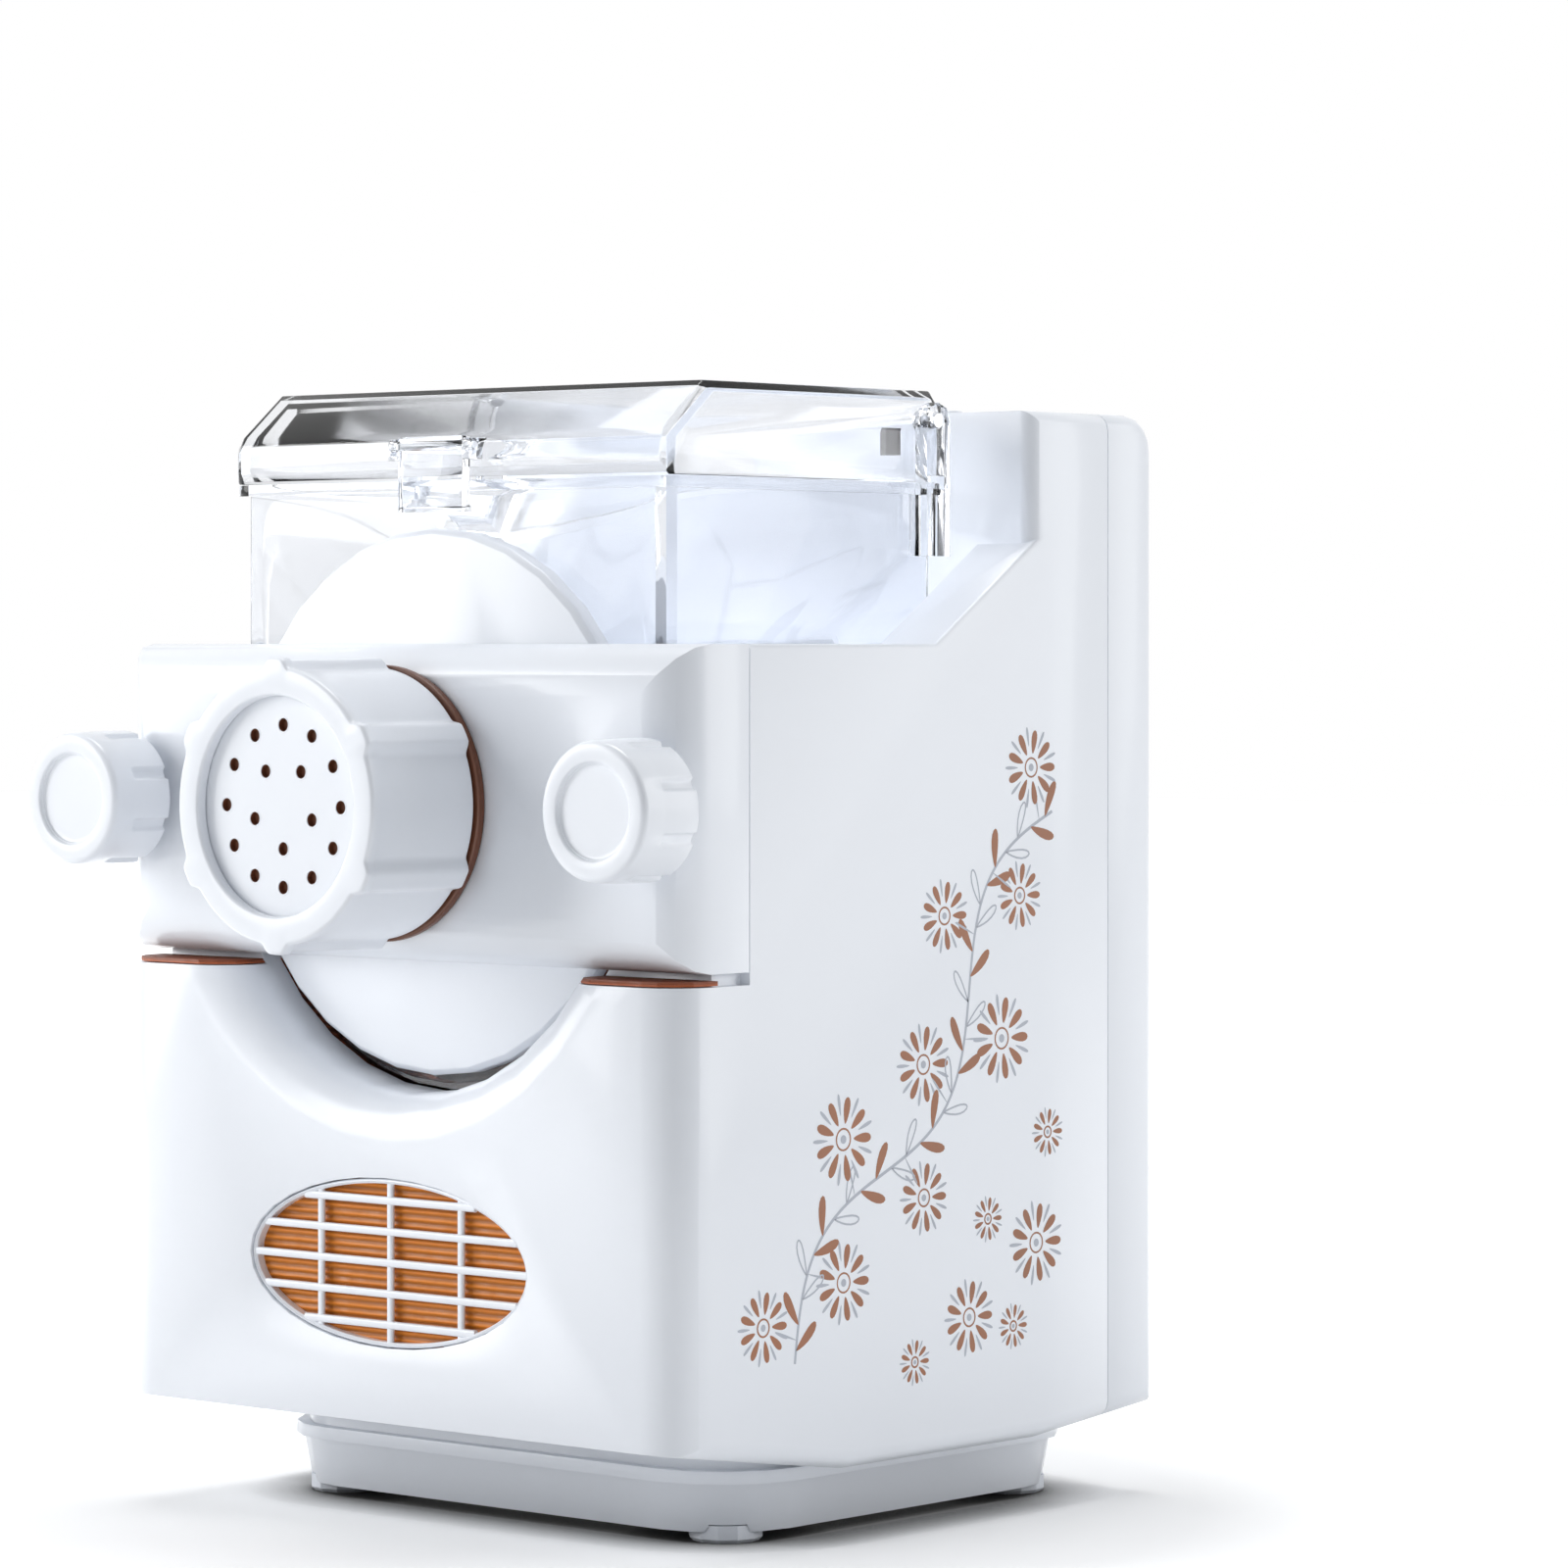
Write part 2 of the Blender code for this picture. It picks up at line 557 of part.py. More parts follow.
def rounded_slab(name, outline, radii, half_width):
    """A side outline (y, z) drawn across the width; each of its edges has its own side rounding."""
    depths = {0.0}
    for radius in set(radii):
        steps = max(1, math.ceil(CORNER_STEPS * math.sqrt(radius / max(radii))))
        depths.update(radius * (1 - math.sin(math.pi / 2 * i / steps)) for i in range(steps))
    layers = []
    for depth in sorted(depths):
        if not layers or depth - layers[-1] > NEAR:
            layers.append(depth)
    mesh_tool = bmesh.new()
    rings = []
    for side, ordered in ((-1, layers), (1, reversed(layers))):
        for depth in ordered:
            falls = [radius - math.sqrt(radius ** 2 - max(radius - depth, 0) ** 2) for radius in radii]
            x = side * (half_width - depth)
            rings.append([mesh_tool.verts.new((x, y, z)) for y, z in inset_edges(outline, falls)])
    for ring, following in zip(rings, rings[1:]):
        for j in range(len(outline)):
            k = (j + 1) % len(outline)
            mesh_tool.faces.new((ring[j], ring[k], following[k], following[j]))
    mesh_tool.faces.new(rings[0])
    mesh_tool.faces.new(reversed(rings[-1]))
    return new_piece(name, mesh_tool)


def combine(piece, other, operation):
    """Applies a Boolean with another solid, which is used up."""
    modifier = piece.modifiers.new("shape", "BOOLEAN")
    modifier.operation = operation
    modifier.solver = "EXACT"
    modifier.object = other
    bpy.context.view_layer.update()
    result = bpy.data.meshes.new_from_object(piece.evaluated_get(bpy.context.evaluated_depsgraph_get()))
    piece.modifiers.remove(modifier)
    piece.data = result
    bpy.data.objects.remove(other)


def cut(piece, other):
    combine(piece, other, "DIFFERENCE")


def fuse(piece, other):
    combine(piece, other, "UNION")


def copy_piece(piece, name):
    twin = bpy.data.objects.new(name, piece.data.copy())
    bpy.context.scene.collection.objects.link(twin)
    return twin


def round_edges(piece, radius, steps, chosen):
    """Rounds the edges for which chosen(edge) holds."""
    mesh_tool = bmesh.new()
    mesh_tool.from_mesh(piece.data)
    mesh_tool.normal_update()
    edges = [edge for edge in mesh_tool.edges if chosen(edge)]
    bmesh.ops.bevel(
        mesh_tool, geom=edges, offset=radius, offset_type="OFFSET", segments=steps, profile=0.5,
        affect="EDGES", material=-1,
    )
    mesh_tool.to_mesh(piece.data)
    mesh_tool.free()


def both_ends(edge, test):
    return all(test(vertex.co) for vertex in edge.verts)


def turn_about_y(piece, centre, degrees):
    middle = Vector((centre[0], 0, centre[1]))
    turn = Matrix.Rotation(math.radians(degrees), 4, "Y")
    piece.data.transform(Matrix.Translation(middle) @ turn @ Matrix.Translation(-middle))


def pivot_at(piece, point):
    """Moves the piece's origin to a point and leaves its shape where it is."""
    point = Vector(point)
    piece.data.transform(Matrix.Translation(-point))
    piece.location = point


def plastic(name, colour, roughness, metallic=0, clear=0):
    material = bpy.data.materials.new(name)
    material.use_nodes = True
    shader = material.node_tree.nodes["Principled BSDF"]
    shader.inputs["Base Color"].default_value = (*colour, 1)
    shader.inputs["Roughness"].default_value = roughness
    shader.inputs["Metallic"].default_value = metallic
    shader.inputs["Transmission Weight"].default_value = clear
    material.diffuse_color = (*colour, 1)
    return material


def finish(piece, material):
    piece.data.materials.clear()
    piece.data.materials.append(material)
    piece.data.shade_smooth()
    piece.data.set_sharp_from_angle(angle=SMOOTH_ANGLE)
    return piece


# Body shell: the housing and its rear cover are one form, parted at the seam

def body_outline():
    """Side view of the body as (y, z), anticlockwise from the chin."""
    crown = (BACK_Y - TOWER_BACK_RADIUS, TOWER_HEIGHT - TOWER_BACK_RADIUS)
    return [
        (FRONT_Y, CHIN_HEIGHT),
        (FRONT_Y + CHIN_DEPTH, BELLY_HEIGHT),
        (HEEL_Y, BELLY_HEIGHT),
        (BACK_Y, HEEL_HEIGHT),
        *arc(crown, TOWER_BACK_RADIUS, 0, 90, ARC_STEPS),
        (TOWER_Y, TOWER_HEIGHT),
        (TOWER_Y, DECK_HEIGHT + RAMP_RISE),
        (RAMP_Y, DECK_HEIGHT),
        (FRONT_Y, DECK_HEIGHT),
    ]


def body_radii():
    """Side rounding of each edge of the body outline, in the same order."""
    return [
        BOTTOM_EDGE_RADIUS,
        BOTTOM_EDGE_RADIUS,
        BOTTOM_EDGE_RADIUS,
        TOWER_CORNER_RADIUS,
        *[TOWER_CORNER_RADIUS] * (ARC_STEPS + 1),
        TOWER_CORNER_RADIUS,
        DECK_EDGE_RADIUS,
        DECK_EDGE_RADIUS,
        FRONT_CORNER_RADIUS,
    ]


def body_block(name, inset):
    """The body as a solid, drawn in by an inset on every side."""
    radii = [max(radius - inset, 0) for radius in body_radii()]
    return rounded_slab(name, inset_outline(body_outline(), inset), radii, HALF_WIDTH - inset)


def scoop_tool(name, growth, end):
    """The flared round opening below the disc, as a solid."""
    radius = SCOOP_RADIUS + growth
    profile = [(0, FRONT_Y - OVERRUN), (radius + SCOOP_FLARE, FRONT_Y - OVERRUN)]
    for i in range(CORNER_STEPS + 1):
        angle = math.pi / 2 * i / CORNER_STEPS
        depth = SCOOP_DEPTH * (1 - math.cos(angle))
        profile.append((radius + SCOOP_FLARE * (1 - math.sin(angle)), FRONT_Y + depth))
    profile.append((radius, end))
    profile.append((0, end))
    return lathe(name, profile, (0, AXIS_Z), ROUND_STEPS, closed=False)


def mirrored_boxes(name, low, high):
    """A box on the right-hand side and its twin on the left."""
    right = box(name + "_right", low, high)
    left = box(name + "_left", (-high[0], low[1], low[2]), (-low[0], high[1], high[2]))
    return [right, left]


def body_recesses(growth):
    """The solids cut from the body; grown by a wall they keep its hollow away."""
    reach = HALF_WIDTH + OVERRUN
    cheek = HALF_WIDTH - CHEEK_WIDTH + growth
    bar_low_z = SEAT_Z - growth
    side_x = HALF_WIDTH - BAR_WALL - FIT_GAP - growth
    top = TOWER_HEIGHT + OVERRUN
    tools = [
        box(
            "tower_gap", (-cheek, RAMP_Y - OVERRUN, DECK_HEIGHT - growth), (cheek, TOWER_Y + growth, top)
        ),
        box(
            "bar_seat", (-reach, FRONT_Y - OVERRUN, bar_low_z),
            (reach, BAR_BACK_Y + FIT_GAP + growth, DECK_HEIGHT + OVERRUN),
        ),
    ]
    tools += mirrored_boxes(
        "bar_cheek_seat", (side_x, FRONT_Y - OVERRUN, bar_low_z),
        (reach, FRONT_Y + BAR_CHEEK_DEPTH + FIT_GAP + growth, DECK_HEIGHT + OVERRUN),
    )
    return tools


def screw_places():
    return [(x, z) for z in (SCREW_LOW_HEIGHT, SCREW_HIGH_HEIGHT) for x in (-SCREW_X, SCREW_X)]


def body_shell():
    shell = body_block("body_shell", 0)
    hollow = body_block("body_hollow", WALL)
    for tool in body_recesses(WALL):
        cut(hollow, tool)
    cut(hollow, scoop_tool("scoop_wall", WALL, CHAMBER_FRONT_Y - FIT_GAP))
    for tool in mirrored_boxes(
        "stud_boss", (STUD_X - STUD_BOSS, FRONT_Y, AXIS_Z - STUD_BOSS),
        (HALF_WIDTH, BAR_BACK_Y + STUD_SINK + WALL, AXIS_Z + STUD_BOSS),
    ):
        cut(hollow, tool)
    for x, z in screw_places():
        inner = min(x, math.copysign(HALF_WIDTH, x)) - (SCREW_BOSS_RADIUS if x > 0 else 0)
        outer = max(x, math.copysign(HALF_WIDTH, x)) + (SCREW_BOSS_RADIUS if x < 0 else 0)
        column = box(
            "screw_boss", (inner, SEAM_Y - SCREW_BITE - WALL, z - SCREW_BOSS_RADIUS),
            (outer, BACK_Y, z + SCREW_BOSS_RADIUS),
        )
        cut(hollow, column)
    cut(shell, hollow)
    for tool in body_recesses(0):
        cut(shell, tool)
    cut(shell, scoop_tool("scoop", 0, CHAMBER_FRONT_Y + OVERRUN))
    return shell


def main_housing(shell, white):
    housing = copy_piece(shell, "main_housing")
    reach = HALF_WIDTH + OVERRUN
    cut(housing, box(
        "behind_seam", (-reach, SEAM_Y - FIT_GAP / 2, -OVERRUN),
        (reach, BACK_Y + OVERRUN, TOWER_HEIGHT + OVERRUN)
    ))
    well = CHAMBER_HALF_WIDTH + CHAMBER_CLEARANCE
    cut(housing, box(
        "chamber_well", (-well, FRONT_Y - OVERRUN, AXIS_Z),
        (well, CHAMBER_BACK_Y + CHAMBER_CLEARANCE, DECK_HEIGHT + OVERRUN),
    ))
    cut(housing, prism(
        "vent_hole", ellipse((0, VENT_Z), VENT_WIDTH / 2, VENT_HEIGHT / 2, ROUND_STEPS), "Y",
        FRONT_Y - OVERRUN, FRONT_Y + WALL + OVERRUN,
    ))
    for side in (-1, 1):
        cut(housing, cylinder(
            "stud_hole", STUD_RADIUS + FIT_GAP, "Y", (side * STUD_X, AXIS_Z), BAR_BACK_Y - OVERRUN,
            BAR_BACK_Y + STUD_SINK, SMALL_STEPS,
        ))
    for x, z in screw_places():
        cut(housing, cylinder(
            "screw_pilot", SCREW_RADIUS + FIT_GAP, "Y", (x, z),
            SEAM_Y - SCREW_BITE, SEAM_Y + OVERRUN, TINY_STEPS
        ))
    cut_panel_opening(housing)
    return finish(housing, white)


def cut_panel_opening(housing):
    half_width = PANEL_WIDTH / 2 + FIT_GAP
    half_depth = PANEL_DEPTH / 2 + FIT_GAP
    seat = rounded_rectangle(
        (-half_width, PANEL_Y - half_depth), (half_width, PANEL_Y + half_depth),
        PANEL_CORNER_RADIUS, SMALL_CORNER_STEPS
    )
    cut(housing, prism("panel_seat", seat, "Z", PANEL_BOTTOM_Z - FIT_GAP, PANEL_TOP_Z + OVERRUN))
    half_width -= PANEL_LEDGE
    half_depth -= PANEL_LEDGE / 2
    cut(housing, box(
        "panel_hole", (-half_width, PANEL_Y - half_depth, PANEL_TOP_Z - WALL - OVERRUN),
        (half_width, PANEL_Y + half_depth, PANEL_TOP_Z),
    ))


def rear_cover(shell, white):
    cover = copy_piece(shell, "rear_cover")
    reach = HALF_WIDTH + OVERRUN
    cut(cover, box(
        "before_seam", (-reach, FRONT_Y - OVERRUN, -OVERRUN),
        (reach, SEAM_Y + FIT_GAP / 2, TOWER_HEIGHT + OVERRUN)
    ))
    for x, z in screw_places():
        cut(cover, cylinder(
            "screw_hole", SCREW_RADIUS + FIT_GAP, "Y", (x, z), SEAM_Y - OVERRUN, BACK_Y + OVERRUN, TINY_STEPS
        ))
        cut(cover, cylinder(
            "screw_head_seat", SCREW_HEAD_RADIUS + FIT_GAP, "Y", (x, z),
            BACK_Y - SCREW_SINK - SCREW_HEAD_HEIGHT - FIT_GAP, BACK_Y + OVERRUN, SMALL_STEPS,
        ))
    for x, width, height in (
        (-INLET_OFFSET, INLET_WIDTH, INLET_HEIGHT),
        (-SWITCH_OFFSET, SWITCH_WIDTH, SWITCH_HEIGHT),
    ):
        half_width = width / 2 + FIT_GAP
        half_height = height / 2 + FIT_GAP
        cut(cover, box(
            "fitting_hole", (x - half_width, BACK_Y - WALL - OVERRUN, FITTINGS_HEIGHT - half_height),
            (x + half_width, BACK_Y + OVERRUN, FITTINGS_HEIGHT + half_height),
        ))
    for i in range(LOUVRE_COUNT):
        z = LOUVRE_LOW_HEIGHT + i * LOUVRE_SPACING
        cut(cover, box(
            "louvre", (-LOUVRE_WIDTH / 2, BACK_Y - WALL - OVERRUN, z - LOUVRE_HEIGHT / 2),
            (LOUVRE_WIDTH / 2, BACK_Y + OVERRUN, z + LOUVRE_HEIGHT / 2),
        ))
    return finish(cover, white)


def rear_screws(steel):
    for number, (x, z) in enumerate(screw_places(), start=1):
        outer = BACK_Y - SCREW_SINK
        inner = outer - SCREW_HEAD_HEIGHT
        profile = [
            (0, SEAM_Y - SCREW_BITE + FIT_GAP),
            (SCREW_RADIUS, SEAM_Y - SCREW_BITE + FIT_GAP + SCREW_RADIUS),
            (SCREW_RADIUS, inner),
            (SCREW_HEAD_RADIUS, inner),
            (SCREW_HEAD_RADIUS, outer - SCREW_HEAD_HEIGHT / 3),
            (SCREW_HEAD_RADIUS * SCREW_CROWN_SHARE, outer),
            (0, outer),
        ]
        screw = lathe("rear_screw_%d" % number, profile, (x, z), TINY_STEPS, closed=False)
        for half_width, half_height in (
            (SCREW_SLOT_LENGTH, SCREW_SLOT_WIDTH), (SCREW_SLOT_WIDTH, SCREW_SLOT_LENGTH)
        ):
            cut(screw, box(
                "cross_slot", (x - half_width / 2, outer - SCREW_SLOT_DEPTH, z - half_height / 2),
                (x + half_width / 2, outer + OVERRUN, z + half_height / 2),
            ))
        finish(screw, steel)


# Vent grille and its filter pad

def vent_grille(white):
    half_width = VENT_WIDTH / 2 - FIT_GAP
    half_height = VENT_HEIGHT / 2 - FIT_GAP
    back = FRONT_Y + WALL + FIT_GAP
    grille = prism(
        "vent_grille", ellipse((0, VENT_Z), half_width, half_height, ROUND_STEPS),
        "Y", FRONT_Y + VENT_SETBACK,
        back + VENT_FLANGE_THICKNESS / 2,
    )
    fuse(grille, prism(
        "vent_flange",
        ellipse((0, VENT_Z), half_width + VENT_FLANGE, half_height + VENT_FLANGE, ROUND_STEPS), "Y",
        back, back + VENT_FLANGE_THICKNESS,
    ))
    windows = prism(
        "vent_windows",
        ellipse((0, VENT_Z), half_width - VENT_RING, half_height - VENT_RING, ROUND_STEPS), "Y",
        FRONT_Y - OVERRUN, back + VENT_FLANGE_THICKNESS + OVERRUN,
    )
    for row in range(VENT_SLAT_COUNT):
        z = VENT_Z + (row - (VENT_SLAT_COUNT - 1) / 2) * VENT_SLAT_SPACING
        cut(windows, box(
            "slat", (-VENT_WIDTH, FRONT_Y - VENT_WIDTH, z - VENT_SLAT_HEIGHT / 2),
            (VENT_WIDTH, FRONT_Y + VENT_WIDTH, z + VENT_SLAT_HEIGHT / 2),
        ))
    for column in range(VENT_BAR_COUNT):
        x = (column - (VENT_BAR_COUNT - 1) / 2) * VENT_BAR_SPACING
        cut(windows, box(
            "bar", (x - VENT_BAR_WIDTH / 2, FRONT_Y - VENT_WIDTH, VENT_Z - VENT_WIDTH),
            (x + VENT_BAR_WIDTH / 2, FRONT_Y + VENT_WIDTH, VENT_Z + VENT_WIDTH),
        ))
    cut(grille, windows)
    return finish(grille, white)


def vent_filter(amber):
    front = FRONT_Y + WALL + VENT_FLANGE_THICKNESS + 2 * FIT_GAP
    outline = ellipse(
        (0, VENT_Z), VENT_WIDTH / 2 + VENT_FLANGE / 2, VENT_HEIGHT / 2 + VENT_FLANGE / 2, ROUND_STEPS
    )
    return finish(prism("vent_filter", outline, "Y", front, front + FILTER_THICKNESS), amber)


# Base tray and feet

def base_outline(inset):
    half = HALF_WIDTH - BASE_SIDE_INSET - inset
    low_y = FRONT_Y + BASE_FRONT_INSET + inset
    high_y = BACK_Y - BASE_BACK_INSET - inset
    return rounded_rectangle((-half, low_y), (half, high_y), BASE_CORNER_RADIUS - inset, CORNER_STEPS)


def foot_places():
    return [(x, y) for y in (FOOT_FRONT_Y, FOOT_BACK_Y) for x in (-FOOT_X, FOOT_X)]


def base_tray(white):
    lip_top = BELLY_HEIGHT - FIT_GAP
    tray = prism("base_tray", base_outline(0), "Z", FOOT_HEIGHT, lip_top)
    mesh = tray.data
    depth = BACK_Y - FRONT_Y
    middle_y = FRONT_Y + (BASE_FRONT_INSET + BODY_DEPTH - BASE_BACK_INSET) / 2
    for vertex in mesh.vertices:
        if vertex.co.z < FOOT_HEIGHT + NEAR:
            vertex.co.x *= 1 - BASE_TAPER / HALF_WIDTH
            vertex.co.y = middle_y + (vertex.co.y - middle_y) * (1 - 2 * BASE_TAPER / depth)
    fuse(tray, prism(
        "base_lip", base_outline(-BASE_LIP_WIDTH), "Z", lip_top - BASE_LIP_HEIGHT, lip_top - NEAR
    ))
    fuse(
        tray, prism("base_neck", base_outline(BASE_NECK_INSET), "Z", lip_top - BASE_LIP_HEIGHT, CHIN_HEIGHT)
    )
    half = HALF_WIDTH + OVERRUN
    underside = [
        (FRONT_Y - OVERRUN, CHIN_HEIGHT + OVERRUN),
        (FRONT_Y, CHIN_HEIGHT),
        (FRONT_Y + CHIN_DEPTH, BELLY_HEIGHT),
        (HEEL_Y, BELLY_HEIGHT),
        (BACK_Y, HEEL_HEIGHT),
        (BACK_Y, DECK_HEIGHT),
        (FRONT_Y - OVERRUN, DECK_HEIGHT),
    ]
    cut(tray, prism("underside", inset_outline(underside, -FIT_GAP), "X", -half, half))
    hollow = prism("base_hollow", base_outline(BASE_WALL + BASE_TAPER), "Z", -OVERRUN, lip_top - BASE_WALL)
    for x, y in foot_places():
        cut(hollow, cylinder(
            "foot_boss", FOOT_RADIUS + FIT_GAP + FOOT_BOSS_WALL,
            "Z", (x, y), -2 * OVERRUN, DECK_HEIGHT, SMALL_STEPS
        ))
    cut(tray, hollow)
    for x, y in foot_places():
        cut(tray, cylinder(
            "foot_seat", FOOT_RADIUS + FIT_GAP, "Z", (x, y), -OVERRUN, FOOT_HEIGHT + FOOT_SINK, SMALL_STEPS
        ))
    return finish(tray, white)


def feet(rubber):
    names = ("front_left", "front_right", "back_left", "back_right")
    for name, (x, y) in zip(names, foot_places()):
        foot = cylinder(
            "foot_" + name, FOOT_RADIUS, "Z", (x, y), 0, FOOT_HEIGHT + FOOT_SINK - FIT_GAP, SMALL_STEPS
        )
        round_edges(foot, FOOT_HEIGHT / 3, 1, lambda edge: both_ends(edge, lambda place: place.z < NEAR))
        finish(foot, rubber)


# Chassis inside the body

def floor_height(setback):
    """Top of the body's floor at a distance behind the front face."""
    floor = inset_outline(body_outline(), WALL)
    y = FRONT_Y + setback
    for (y_low, z_low), (y_high, z_high) in zip(floor[:3], floor[1:4]):
        if y <= y_high:
            return z_low + (z_high - z_low) * (y - y_low) / (y_high - y_low)
    return floor[3][1]


def inner_chassis(amber):
    front = CHASSIS_FRONT_SETBACK
    rear = CHASSIS_REAR_Y - FRONT_Y
    seat = 2 * FIT_GAP
    low = [(front, floor_height(front) + seat), (CHIN_DEPTH + WALL, floor_height(CHIN_DEPTH + WALL) + seat)]
    low.append((rear + CHASSIS_THICKNESS, floor_height(rear) + seat))
    outline = [(FRONT_Y + setback, z) for setback, z in low]
    outline += [
        (CHASSIS_REAR_Y + CHASSIS_THICKNESS, CHASSIS_REAR_HEIGHT),
        (CHASSIS_REAR_Y, CHASSIS_REAR_HEIGHT),
        (CHASSIS_REAR_Y, low[2][1] + CHASSIS_FLOOR),
        (FRONT_Y + low[1][0], low[1][1] + CHASSIS_FLOOR),
        (FRONT_Y + front + CHASSIS_THICKNESS, low[0][1] + CHASSIS_FLOOR),
        (FRONT_Y + front + CHASSIS_THICKNESS, CHASSIS_FRONT_HEIGHT),
        (FRONT_Y + front, CHASSIS_FRONT_HEIGHT),
    ]
    chassis = prism("inner_chassis", outline, "X", -CHASSIS_HALF_WIDTH, CHASSIS_HALF_WIDTH)
    saddle_end = FRONT_Y + front + CHASSIS_THICKNESS + OVERRUN
    cut(chassis, prism(
        "saddle", trough_outline(CHAMBER_HALF_WIDTH + FIT_GAP, CHAMBER_HEIGHT), "Y", FRONT_Y, saddle_end
    ))
    cut(
        chassis, cylinder("air_way", CHASSIS_AIR_RADIUS, "Y", (0, MOTOR_Z), FRONT_Y, saddle_end, ROUND_STEPS)
    )
    for z, radius in ((AXIS_Z, OUTPUT_SHAFT_RADIUS), (MOTOR_Z, MOTOR_SHAFT_RADIUS)):
        cut(chassis, cylinder(
            "shaft_way", radius + CHASSIS_SHAFT_CLEARANCE, "Y", (0, z), CHASSIS_REAR_Y - OVERRUN,
            CHASSIS_REAR_Y + CHASSIS_THICKNESS + OVERRUN, SMALL_STEPS,
        ))
    return finish(chassis, amber)


# Brown liners on the body's seat under the clamp bar

def seat_liners(amber):
    for name, side in (("left", -1), ("right", 1)):
        outer = side * (HALF_WIDTH - LINER_INSET)
        ends = sorted((0, outer))
        low_y = FRONT_Y + LINER_INSET
        liner = box(
            "seat_liner_" + name, (ends[0], low_y, SEAT_Z + FIT_GAP),
            (ends[1], BAR_BACK_Y, SEAT_Z + FIT_GAP + LINER_THICKNESS),
        )
        round_edges(
            liner, FRONT_CORNER_RADIUS - LINER_INSET, CORNER_STEPS,
            lambda edge: both_ends(
                edge, lambda place: abs(place.x - outer) < NEAR and abs(place.y - low_y) < NEAR
            ),
        )
        cut(liner, scoop_tool("scoop_clearance", FIT_GAP, BAR_BACK_Y + OVERRUN))
        finish(liner, amber)


# Clamp bar, its studs, washers and thumb nuts

def front_bar(white):
    bar = box(
        "front_bar", (-HALF_WIDTH, FRONT_Y, BAR_BOTTOM_Z),
        (HALF_WIDTH, FRONT_Y + BAR_CHEEK_DEPTH, DECK_HEIGHT)
    )

    def is_front_corner(edge):
        return both_ends(
            edge, lambda place: abs(abs(place.x) - HALF_WIDTH) < NEAR and abs(place.y - FRONT_Y) < NEAR
        )

    round_edges(bar, FRONT_CORNER_RADIUS, CORNER_STEPS, is_front_corner)
    inner = HALF_WIDTH - BAR_WALL
    hollow = box(
        "bar_hollow", (-inner, FRONT_Y + BAR_WALL, BAR_BOTTOM_Z + BAR_WALL),
        (inner, FRONT_Y + BAR_CHEEK_DEPTH + OVERRUN, DECK_HEIGHT - BAR_WALL),
    )
    round_edges(
        hollow, FRONT_CORNER_RADIUS - BAR_WALL, CORNER_STEPS,
        lambda edge: both_ends(
            edge, lambda place: abs(abs(place.x) - inner) < NEAR and place.y < FRONT_Y + BAR_WALL + NEAR
        ),
    )
    cut(hollow, cylinder(
        "bar_collar", BAR_HOLE_RADIUS + BAR_COLLAR_WALL, "Y", (0, AXIS_Z), FRONT_Y, BAR_BACK_Y, ROUND_STEPS
    ))
    for side in (-1, 1):
        cut(hollow, cylinder(
            "bar_boss", BAR_BOSS_RADIUS, "Y", (side * STUD_X, AXIS_Z),
            FRONT_Y, BAR_BACK_Y - FIT_GAP, SMALL_STEPS
        ))
    cut(bar, hollow)
    cut(bar, box(
        "bar_back", (-inner, BAR_BACK_Y, BAR_BOTTOM_Z - OVERRUN),
        (inner, FRONT_Y + BAR_CHEEK_DEPTH + OVERRUN, DECK_HEIGHT + OVERRUN),
    ))
    cut(bar, cylinder(
        "barrel_way", BAR_HOLE_RADIUS, "Y", (0, AXIS_Z), FRONT_Y - OVERRUN, BAR_BACK_Y + OVERRUN, ROUND_STEPS
    ))
    for side in (-1, 1):
        cut(bar, cylinder(
            "stud_way", STUD_RADIUS + FIT_GAP, "Y", (side * STUD_X, AXIS_Z), FRONT_Y - OVERRUN,
            BAR_BACK_Y + OVERRUN, SMALL_STEPS,
        ))
    return finish(bar, white)


def clamp_sets(white, steel):
    for name, side in (("left", -1), ("right", 1)):
        centre = (side * STUD_X, AXIS_Z)
        middle = (side * STUD_X, KNOB_BACK_Y, AXIS_Z)
        stud_front = KNOB_FRONT_Y + KNOB_RECESS_DEPTH + KNOB_FACE
        finish(cylinder(
            "stud_" + name, STUD_RADIUS, "Y", centre, stud_front,
            BAR_BACK_Y + STUD_SINK - FIT_GAP, SMALL_STEPS
        ), steel)
        washer = lathe(
            "washer_" + name,
            [
                (STUD_RADIUS + FIT_GAP, FRONT_Y - FIT_GAP), (WASHER_RADIUS, FRONT_Y - FIT_GAP),
                (WASHER_RADIUS, KNOB_BACK_Y + FIT_GAP), (STUD_RADIUS + FIT_GAP, KNOB_BACK_Y + FIT_GAP),
            ],
            centre, SMALL_STEPS,
        )
        pivot_at(washer, middle)
        finish(washer, steel)
        knob = thumb_nut("knob_" + name, centre)
        pivot_at(knob, middle)
        finish(knob, white)


